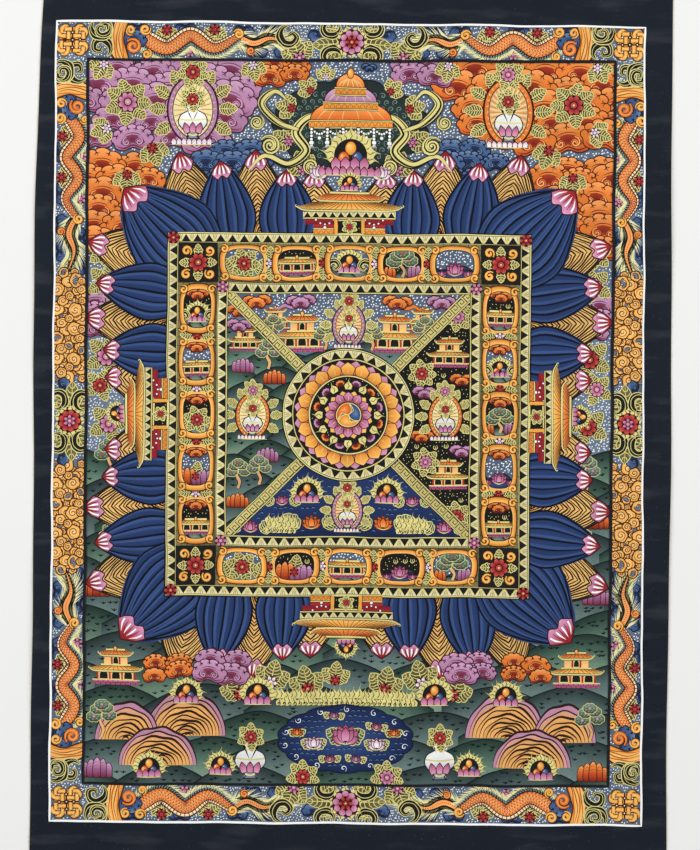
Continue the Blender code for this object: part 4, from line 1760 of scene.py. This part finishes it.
def grass_tufts():
    for spot in free_places(HILL, 7.0, 1.8):
        with one_coat():
            tuft = Place(*spot, hand.uniform(-14, 14), hand.uniform(0.9, 1.3))
            for tip in ((-2.7, 0.9), (0.2, 1.9), (2.6, 1.1)):
                blade = np.array([(0, -0.4), (tip[0] * 0.5, tip[1] * 0.55), tip])
                stroke("fine_lines", tuft, blade, 1.0, GREEN.line, (1, 0.15))


def night_sprigs():
    for spot in free_places(NIGHT, 8.4, 2.6, 0.2):
        sprig = Place(*spot, hand.uniform(-10, 10))
        with one_coat():
            for side in (-1, 1):
                prong = bend([(0, -2.2), (side * 1.9, -0.6), (side * 1.3, 2.0)], 2)
                stroke("gold_lines", sprig, prong, 0.7, GOLD, (1, 0.5))
            stroke("gold_lines", sprig, straight((0, -2.6), (0, 1.4), 2), 0.6, GOLD, (1, 0.5))
    for spot in free_places(NIGHT, 3.4, 0.8):
        fill("gold_lines", Place(*spot), oval(0.9, 0.9, count=5), [GOLD])


def water_marks():
    for spot in free_places(WATER, 5.2, 1.6, 0.12):
        wave = Place(*spot)
        with one_coat():
            stroke("fine_lines", wave, arc(2.5, 15, 165, (0, -1.0), 0.8), 0.6, NAVY.line, (0.4, 0.4))
            stroke("body_colours", wave, arc(1.7, 20, 160, (0, -1.2), 0.8), 0.6, CLOUD_BLUE.light, (0.4, 0.4))


def fill_in(kind, clearance, motifs):
    """Sets the motifs in turn wherever that kind of ground still shows for the clearance on every side."""
    step = 4.0
    pad = int(clearance / CELL)
    count = 0
    for spot in hand.permutation(free_places(kind, step, clearance)):
        col, row = ((spot + (HALF_U, HALF_V)) / CELL).astype(int)
        if (top_kind[row - pad:row + pad + 1, col - pad:col + pad + 1] == kind).all():
            motif, *settings = motifs[count % len(motifs)]
            motif(Place(*spot, hand.uniform(-7, 7)), *settings)
            count += 1


def puff(place, shades, size=0.55):
    """Three cloud heads together."""
    for x, y in ((-15, 4), (15, 2), (0, -6)):
        cloud_head(place.at(x * size, y * size, 0, size), shades, 6)


def little_tree(place):
    tree(place.at(0, -15), 25, JADE, PINK)


def little_hall(place):
    pavilion(place.at(0, -13), 28, 1)


def little_rock(place, shades, size=0.9):
    rock(place.at(0, -8, size=size), shades, 5)


def lily(place, wide, shades):
    for side in (-1, 1):
        leaf(place.at(side * 0.3 * wide, -0.2 * wide, -side * 55), 0.6 * wide, 0.42 * wide, LILY_LEAF)
    lotus(place.at(0, -0.2 * wide), wide, shades)


def finish_grounds():
    """Flowers, leaves, clouds, trees and rocks wherever a wide stretch of one ground is left."""
    fill_in(SKY, 15.0, ((spray, 7.4, CRIMSON, 6), (puff, CLOUD_BLUE), (spray, 7.4, PINK, 6), (puff, ORANGE)))
    fill_in(SKY, 10.0, ((leaf_fan, 20, 3, CRIMSON), (puff, CLOUD_BLUE, 0.36), (leaf_fan, 20, 3, PALE),
                        (puff, PORCELAIN, 0.36)))
    fill_in(SKY, 6.5, ((leaf_fan, 13, 3, PALE), (puff, CLOUD_BLUE, 0.22), (leaf_fan, 13, 3, PINK)))
    fill_in(HILL, 15.0, ((little_tree,), (little_rock, MAUVE, 1.0), (spray, 7.4, CRIMSON, 6), (little_hall,),
                         (little_rock, ORANGE, 1.0), (spray, 7.4, PINK, 6)))
    fill_in(HILL, 9.0, ((leaf_fan, 19, 3, CRIMSON), (little_rock, MAUVE, 0.6), (leaf_fan, 19, 3, PALE),
                        (leaf_fan, 19, 3, PINK)))
    fill_in(WATER, 7.0, ((lily, 13, PINK), (lily, 13, MAUVE)))
    fill_in(NIGHT, 7.5, ((leaf_fan, 15, 3, CRIMSON), (puff, PORCELAIN, 0.3), (leaf_fan, 15, 3, PALE)))
    fill_in(BORDER, 5.0, ((leaf_fan, 11, 3), (puff, CLOUD_BLUE, 0.2)))


# ---------------------------------------------------------------- the picture, in painting order

def paint_picture():
    picture = Place()
    with kept_inside(*side_limits(PICTURE)):
        with kept_inside(*side_limits(FIELD)):
            ground(picture, (-252, -346), (252, 347), (SLATE, SLATE_PALE, SLATE), SKY)
            sky_and_clouds(picture)
            far_land(picture)
            side_groves(picture)
            cloud_flowers(picture)
            great_lotus(COURT)
            foreground(picture)
            for side, rim, glow in ((-1, MAUVE, GOLD_PALE), (1, ORANGE, TAN)):
                disc_of_light(picture.at(side * 150, 297, 0, 0.92), 50, 68, rim, glow)
            canopy(picture.at(0, 274, size=1.24))
            court(COURT)
        border(picture)
        finish_grounds()
        grass_tufts()
        night_sprigs()
        water_marks()
    frame_lines(picture)
    speckles(SKY, 2.9, 1.85)
    speckles(BORDER, 2.5, 1.6)


# ---------------------------------------------------------------- finishes

def group(name, inputs, outputs):
    """An empty node group with its sockets, and its two end nodes."""
    tree = bpy.data.node_groups.new(name, "ShaderNodeTree")
    for label, kind, value in inputs:
        socket = tree.interface.new_socket(label, in_out="INPUT", socket_type=kind)
        socket.default_value = value
    for label, kind in outputs:
        tree.interface.new_socket(label, in_out="OUTPUT", socket_type=kind)
    return tree, tree.nodes.new("NodeGroupInput"), tree.nodes.new("NodeGroupOutput")


def node(tree, kind, fed=None, **settings):
    """A node with its settings. fed says what feeds each input: a socket, or a plain value."""
    made = tree.nodes.new(kind)
    for key, value in settings.items():
        setattr(made, key, value)
    for key, source in (fed or {}).items():
        if isinstance(source, bpy.types.NodeSocket):
            tree.links.new(source, made.inputs[key])
        else:
            made.inputs[key].default_value = source
    return made


def maths(tree, operation, *terms, kind="ShaderNodeMath"):
    """What an operation makes of its terms, each a socket or a plain value."""
    places = (0, "Scale") if operation == "SCALE" else range(len(terms))
    return node(tree, kind, dict(zip(places, terms)), operation=operation).outputs[0]


VECTOR = "ShaderNodeVectorMath"


def moved_range(tree, source, low, high, to_low=0.0, to_high=1.0):
    """A value that runs from low to high, made to run between two others."""
    fed = {"Value": source, "From Min": low, "From Max": high, "To Min": to_low, "To Max": to_high}
    return node(tree, "ShaderNodeMapRange", fed).outputs[0]


def blend(tree, mask, first, second):
    """One colour over another, by a mask."""
    return node(tree, "ShaderNodeMix", {0: mask, 6: first, 7: second}, data_type="RGBA").outputs[2]


def cotton_weave_group():
    """Plain weave: how high the threads stand, from 0 to 1, at threads to the metre."""
    tree, given, put = group("cotton_weave", [("Threads", "NodeSocketFloat", 1500.0),
                                              ("Unevenness", "NodeSocketFloat", 0.6)],
                             [("Height", "NodeSocketFloat"), ("Slubs", "NodeSocketFloat")])
    place = node(tree, "ShaderNodeTexCoord").outputs["Object"]
    drift = node(tree, "ShaderNodeTexNoise", {"Vector": place, "Scale": 90.0, "Detail": 2.0})
    amount = maths(tree, "MULTIPLY", given.outputs["Unevenness"], 0.0006)
    moved = maths(tree, "SCALE", drift.outputs["Color"], amount, kind=VECTOR)
    spot = maths(tree, "ADD", place, moved, kind=VECTOR)
    scaled = maths(tree, "SCALE", spot, given.outputs["Threads"], kind=VECTOR)
    parts = node(tree, "ShaderNodeSeparateXYZ", {0: scaled})
    waves = [maths(tree, "SINE", maths(tree, "MULTIPLY", parts.outputs[axis], math.pi)) for axis in "XY"]
    height = maths(tree, "MULTIPLY_ADD", maths(tree, "MULTIPLY", *waves), 0.5, 0.5)
    stretch = maths(tree, "MULTIPLY", place, (40.0, 900.0, 1.0), kind=VECTOR)
    slub = node(tree, "ShaderNodeTexNoise", {"Vector": stretch, "Scale": 1.0, "Detail": 1.0})
    tree.links.new(height, put.inputs["Height"])
    tree.links.new(slub.outputs["Fac"], put.inputs["Slubs"])
    return tree


def pigment_group():
    """Hand-ground colour laid on cloth: its value drifts in clouds and in the drag of the brush."""
    tree, given, put = group("pigment", [("Colour", "NodeSocketColor", (0.5, 0.5, 0.5, 1.0)),
                                         ("Drift", "NodeSocketFloat", 0.2)],
                             [("Colour", "NodeSocketColor"), ("Density", "NodeSocketFloat")])
    place = node(tree, "ShaderNodeTexCoord").outputs["Object"]
    noises = [node(tree, "ShaderNodeTexNoise", {"Vector": place, "Scale": scale, "Detail": 3.0})
              for scale in (28.0, 420.0)]
    broad, fine = (noise.outputs["Fac"] for noise in noises)
    centred = maths(tree, "SUBTRACT", maths(tree, "ADD", broad, fine), 1.0)
    swing = maths(tree, "MULTIPLY", centred, given.outputs["Drift"])
    value = maths(tree, "ADD", swing, 1.0)
    tinted = maths(tree, "SCALE", given.outputs["Colour"], value, kind=VECTOR)
    tree.links.new(tinted, put.inputs["Colour"])
    tree.links.new(broad, put.inputs["Density"])
    return tree


def dust_group():
    """Lint, rubs and pale dust on dark cloth, as a mask."""
    tree, given, put = group("dust", [("Lint", "NodeSocketFloat", 0.5), ("Rubs", "NodeSocketFloat", 0.5)],
                             [("Mask", "NodeSocketFloat")])
    place = node(tree, "ShaderNodeTexCoord").outputs["Object"]
    specks = node(tree, "ShaderNodeTexVoronoi", {"Vector": place, "Scale": 160.0}).outputs["Distance"]
    lint = maths(tree, "MULTIPLY", moved_range(tree, specks, 0.10, 0.02), given.outputs["Lint"])
    stretch = maths(tree, "MULTIPLY", place, (14.0, 60.0, 1.0), kind=VECTOR)
    drag = node(tree, "ShaderNodeTexNoise", {"Vector": stretch, "Scale": 1.0, "Detail": 5.0}).outputs["Fac"]
    rubs = maths(tree, "MULTIPLY", moved_range(tree, drag, 0.52, 0.74), given.outputs["Rubs"])
    tree.links.new(maths(tree, "MAXIMUM", lint, rubs), put.inputs["Mask"])
    return tree


WEAVE = cotton_weave_group()
PIGMENT = pigment_group()
DUST = dust_group()


def material(name, roughness, metallic=0.0, specular=0.5):
    made = bpy.data.materials.new(name)
    made.use_nodes = True
    shader = made.node_tree.nodes["Principled BSDF"]
    shader.inputs["Roughness"].default_value = roughness
    shader.inputs["Metallic"].default_value = metallic
    shader.inputs["Specular IOR Level"].default_value = specular
    return made, made.node_tree, shader


def placed_group(tree, kind, **fed):
    return node(tree, "ShaderNodeGroup", fed, node_tree=kind)


def woven_bump(tree, shader, depth, threads=1500.0):
    """Lets the weave of the cloth show through what lies on it."""
    weave = placed_group(tree, WEAVE, Threads=threads)
    fed = {"Height": weave.outputs["Height"], "Strength": 0.6, "Distance": depth}
    bump = node(tree, "ShaderNodeBump", fed)
    tree.links.new(bump.outputs["Normal"], shader.inputs["Normal"])
    return weave


def paint_material(name, roughness, drift, metallic, weave_depth, specular):
    """Opaque colour in a thin skin: its own colour from the brush, the cloth's weave through it."""
    made, tree, shader = material(name, roughness, metallic, specular)
    brushed = node(tree, "ShaderNodeAttribute", attribute_name="paint")
    pigment = placed_group(tree, PIGMENT, Colour=brushed.outputs["Color"], Drift=drift)
    tree.links.new(pigment.outputs["Colour"], shader.inputs["Base Color"])
    dull = moved_range(tree, pigment.outputs["Density"], 0.3, 0.7, roughness - 0.08, roughness + 0.06)
    tree.links.new(dull, shader.inputs["Roughness"])
    woven_bump(tree, shader, weave_depth)
    return made


def primed_margin_material():
    """Dark priming on the margin, brushed thin, with a little lint and a few rubs."""
    made, tree, shader = material("primed_margin", 0.70, specular=0.10)
    pigment = placed_group(tree, PIGMENT, Colour=(*MARGIN_BLACK, 1.0), Drift=0.5)
    dust = placed_group(tree, DUST, Lint=0.35, Rubs=0.14).outputs["Mask"]
    dusty = blend(tree, dust, pigment.outputs["Colour"], (*paint_colour(112, 114, 118), 1.0))
    tree.links.new(dusty, shader.inputs["Base Color"])
    tree.links.new(moved_range(tree, dust, 0.0, 1.0, 0.60, 0.85), shader.inputs["Roughness"])
    woven_bump(tree, shader, 0.00012)
    return made


def raw_cotton_material():
    """Bare cotton, as on the sheet's back and along its cut."""
    made, tree, shader = material("raw_cotton", 0.9, specular=0.15)
    weave = woven_bump(tree, shader, 0.00022, 1350.0)
    dark, pale, soil = ((*paint_colour(*c), 1.0) for c in ((176, 166, 146), (222, 214, 196), (138, 128, 112)))
    cotton = blend(tree, weave.outputs["Slubs"], dark, pale)
    dust = placed_group(tree, DUST, Lint=0.2, Rubs=0.30).outputs["Mask"]
    tree.links.new(blend(tree, dust, cotton, soil), shader.inputs["Base Color"])
    return made


# ---------------------------------------------------------------- the pieces

def hand_drawn(points):
    """The slow unsteadiness of the hand, the same for a patch and for the lines round it."""
    u, v = points[:, 0], points[:, 1]
    du = 0.34 * np.sin(v / 21 + 1.3) + 0.22 * np.sin((u + v) / 13 + 0.4) + 0.10 * np.sin(v / 5.3 + u / 9)
    dv = 0.34 * np.sin(u / 19 + 2.1) + 0.22 * np.sin((u - v) / 14 + 0.9) + 0.10 * np.sin(u / 5.9 - v / 8)
    return points + np.column_stack([du, dv])


def on_canvas(points, level):
    """Drawing places, in millimetres, as points in the frame, each coat above the one it covers."""
    u, v = (points / 1000).T
    level = np.asarray(level)
    paint = COAT_STEP * np.minimum(level, FIRST_COATS) + LATER_COAT_STEP * np.maximum(level - FIRST_COATS, 0)
    z = rise(u, v) + THICKNESS + (PRIMING + paint) / 1000
    return np.column_stack([u - MIDDLE[0], v - MIDDLE[1], z])


def set_out(name, mesh):
    """Sets a mesh out as one piece of the canvas."""
    piece = bpy.data.objects.new(name, mesh)
    bpy.context.scene.collection.objects.link(piece)
    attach(piece, "root")
    return piece


def mesh_of(name, points, faces, materials, face_slots=None):
    mesh = bpy.data.meshes.new(name)
    mesh.vertices.add(len(points))
    mesh.vertices.foreach_set("co", np.asarray(points, np.float32).ravel())
    mesh.loops.add(faces.size)
    mesh.loops.foreach_set("vertex_index", np.asarray(faces, np.int32).ravel())
    mesh.polygons.add(len(faces))
    mesh.polygons.foreach_set("loop_start", np.arange(0, faces.size, faces.shape[1], dtype=np.int32))
    if face_slots is not None:
        mesh.polygons.foreach_set("material_index", np.asarray(face_slots, np.int32))
    mesh.update(calc_edges=True)
    mesh.validate()
    for one in materials:
        mesh.materials.append(one)
    return set_out(name, mesh)


def paint_piece(paint, finish):
    """Joins all the skins of one paint, leaving out what the picture's limits flattened away."""
    points, faces, colours, levels, first = [], [], [], [], 0
    for p, f, c, level in skins[paint]:
        points.append(p)
        faces.append(f + first)
        colours.append(np.broadcast_to(c, (len(p), 3)))
        levels.append(np.broadcast_to(level, len(p)))
        first += len(p)
    points, faces = hand_drawn(np.vstack(points)), np.vstack(faces)
    colours, levels = np.vstack(colours), np.concatenate(levels)
    a, b, c = (points[faces[:, k]] for k in range(3))
    area = (b - a)[:, 0] * (c - a)[:, 1] - (b - a)[:, 1] * (c - a)[:, 0]
    faces = np.where((area > 0)[:, None], faces, faces[:, ::-1])[np.abs(area) > 1e-3]
    used, faces = np.unique(faces, return_inverse=True)
    faces = faces.reshape(-1, 3)
    piece = mesh_of(paint, on_canvas(points[used], levels[used]), faces, [finish])
    mesh = piece.data
    tint = mesh.color_attributes.new("paint", "FLOAT_COLOR", "POINT")
    colours = np.column_stack([colours[used], np.ones(len(used))])
    tint.data.foreach_set("color", colours.astype(np.float32).ravel())
    flat = points[used] / (2 * HALF_U, 2 * HALF_V) + 0.5
    layer = mesh.uv_layers.new(name="OFBake")
    corners = np.empty(len(mesh.loops), np.int32)
    mesh.loops.foreach_get("vertex_index", corners)
    layer.data.foreach_set("uv", flat[corners].astype(np.float32).ravel())
    mesh.shade_smooth()
    return piece


# The strip along the cut that stays bare, as a share of the sheet's width, and the sheet's width as a
# share of its height.
EDGE_STRIP = 0.0011
SHEET_RATIO = 0.73
# How unsteady the cut is, how far its rim is pressed down, and how thick a loose thread is, in metres,
# and how many threads are loose.
CUT_WANDER = 0.00012
RIM_DROP = 0.00030
THREAD = 0.00011
LOOSE_THREADS = 340


def canvas_sheet():
    """The cut of cotton: primed on its face but for a hair's breadth along the cut."""
    across = np.concatenate([[0.0, EDGE_STRIP], np.linspace(0.012, 0.988, 67), [1 - EDGE_STRIP, 1.0]])
    strip = EDGE_STRIP * SHEET_RATIO
    up = np.concatenate([[0.0, strip], np.linspace(0.010, 0.990, 91), [1 - strip, 1.0]])
    a, b = np.meshgrid(across, up)
    x, y = on_sheet(a, b)
    rim = (a == 0) | (a == 1) | (b == 0) | (b == 1)
    x = x + np.where(rim, hand.normal(0, CUT_WANDER, x.shape), 0)
    y = y + np.where(rim, hand.normal(0, CUT_WANDER, y.shape), 0)
    z = rise(x, y)
    rows, cols = x.shape
    flat = np.column_stack([(x - MIDDLE[0]).ravel(), (y - MIDDLE[1]).ravel()])
    drop = np.where(rim, RIM_DROP, 0.0).ravel()
    top = np.column_stack([flat, z.ravel() + THICKNESS - drop])
    under = np.column_stack([flat, z.ravel()])
    r, c = np.meshgrid(np.arange(rows - 1), np.arange(cols - 1), indexing="ij")
    first = (r * cols + c).ravel()
    face = np.column_stack([first, first + 1, first + 1 + cols, first + cols])
    edge = grid_rim(rows, cols)
    after = np.roll(edge, -1)
    side = np.column_stack([after, edge, edge + rows * cols, after + rows * cols])
    on_rim = ((r == 0) | (c == 0) | (r == rows - 2) | (c == cols - 2)).ravel()
    faces = np.vstack([face, face[:, ::-1] + rows * cols, side[:, ::-1]])
    slots = np.concatenate([on_rim.astype(int), np.ones(len(face) + len(side), int)])
    sheet = mesh_of("primed_sheet", np.vstack([top, under]), faces,
                    [primed_margin_material(), raw_cotton_material()], slots)
    sheet.data.shade_smooth()
    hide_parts("painted_canvas")
    return sheet


def frayed_threads(finish):
    """Cut ends of warp and weft that stand out a millimetre or two along the edge."""
    points, faces = [], []
    for k in range(LOOSE_THREADS):
        side = k % 4
        share = hand.uniform(0.004, 0.996)
        a, b = ((0.0, share), (1.0, share), (share, 0.0), (share, 1.0))[side]
        x, y = (float(w) for w in on_sheet(np.float64(a), np.float64(b)))
        out = np.array(((-1.0, 0.0), (1.0, 0.0), (0.0, -1.0), (0.0, 1.0))[side])
        aside = np.array([-out[1], out[0]])
        reach = hand.uniform(0.0004, 0.0022) * (1.5 if hand.random() < 0.12 else 1.0)
        sway = hand.normal(0, 0.0006)
        lift = float(rise(np.float64(x), np.float64(y))) + THICKNESS * hand.uniform(0.35, 0.7)
        for j, s in enumerate((-0.3, 0.35, 0.7, 1.0)):
            spot = np.array([x - MIDDLE[0], y - MIDDLE[1]]) + out * reach * s + aside * sway * max(s, 0) ** 2
            high = max(lift - 0.0004 * max(s, 0), 0.00012)
            thick = THREAD * (1 - 0.6 * max(s, 0))
            for turn in (90, 210, 330):
                cross, up = math.cos(math.radians(turn)) * thick, math.sin(math.radians(turn)) * thick
                points.append((*(spot + aside * cross), high + up))
        first = 12 * k
        for j in range(3):
            for i in range(3):
                n = (i + 1) % 3
                ring = first + 3 * j
                faces.append((ring + i, ring + n, ring + 3 + n, ring + 3 + i))
        faces.append((first + 11, first + 10, first + 9))
        faces.append((first, first + 1, first + 2))
    mesh = bpy.data.meshes.new("frayed_threads")
    mesh.from_pydata(points, [], faces)
    mesh.update()
    mesh.materials.append(finish)
    return set_out("frayed_threads", mesh)


# ---------------------------------------------------------------- floor, light and camera

# A pixel of the view in metres, the lens and its sensor in millimetres, and the view's height in pixels.
PIXEL = 0.000951
LENS, SENSOR = 70.0, 36.0
FRAME_PIXELS = 850
# How far the view is off the picture's middle, in metres, and how far it is turned, in degrees.
OFF_MIDDLE = (0.0019, -0.0013)
TURNED = 0.47


def floor():
    bpy.ops.mesh.primitive_plane_add(size=6.0, location=(0, 0, 0))
    surface = bpy.context.object
    surface.name = "studio_floor"
    made, _, shader = material("pale_floor", 0.8, specular=0.3)
    shader.inputs["Base Color"].default_value = (0.86, 0.86, 0.85, 1.0)
    surface.data.materials.append(made)


def lamp(name, place, size, power):
    light = bpy.data.lights.new(name, "AREA")
    light.size = size
    light.energy = power
    lamp_object = bpy.data.objects.new(name, light)
    lamp_object.location = place
    lamp_object.rotation_euler = Vector(-np.array(place)).to_track_quat("-Z", "Y").to_euler()
    bpy.context.scene.collection.objects.link(lamp_object)


def studio():
    lamp("left_window", (-1.9, 0.5, 1.7), 1.6, 24)
    lamp("right_window", (1.9, 0.4, 1.7), 1.6, 18)
    lamp("head_light", (0.0, 2.1, 1.9), 1.8, 14)
    world = bpy.data.worlds.new("soft_room")
    bpy.context.scene.world = world
    world.use_nodes = True
    world.node_tree.nodes["Background"].inputs["Color"].default_value = (1.0, 1.0, 1.0, 1.0)
    world.node_tree.nodes["Background"].inputs["Strength"].default_value = 0.55
    bpy.context.scene.view_settings.view_transform = "Standard"
    bpy.context.scene.view_settings.look = "None"


def camera():
    """Straight above the picture, and turned a little, as it was photographed."""
    view = bpy.data.cameras.new("camera")
    view.lens = LENS
    view.sensor_width = SENSOR
    eye = bpy.data.objects.new("camera", view)
    height = FRAME_PIXELS * PIXEL * LENS / SENSOR + THICKNESS
    eye.location = (OFF_MIDDLE[0] - MIDDLE[0], OFF_MIDDLE[1] - MIDDLE[1], height)
    eye.rotation_euler = (0.0, 0.0, math.radians(TURNED))
    bpy.context.scene.collection.objects.link(eye)
    bpy.context.scene.camera = eye


# Roughness, drift of the pigment, metal, depth of the weave and gloss of each paint.
Finish = namedtuple("Finish", "roughness drift metallic weave_depth specular")
FINISHES = {
    "ground_colours": Finish(0.74, 0.42, 0.0, 0.00010, 0.10),
    "cloud_colours": Finish(0.70, 0.30, 0.0, 0.00008, 0.12),
    "flower_colours": Finish(0.70, 0.30, 0.0, 0.00008, 0.12),
    "body_colours": Finish(0.70, 0.30, 0.0, 0.00008, 0.12),
    "border_colours": Finish(0.70, 0.32, 0.0, 0.00008, 0.12),
    "ink_lines": Finish(0.62, 0.30, 0.0, 0.00007, 0.12),
    "fine_lines": Finish(0.62, 0.30, 0.0, 0.00007, 0.12),
    "gold_lines": Finish(0.46, 0.22, 0.12, 0.00006, 0.40),
    "white_touches": Finish(0.62, 0.16, 0.0, 0.00006, 0.20),
}

paint_picture()
sheet = canvas_sheet()
pieces = [paint_piece(paint, paint_material(paint, *FINISHES[paint])) for paint in PAINTS]
threads = frayed_threads(sheet.data.materials[1])
floor()
studio()
camera()
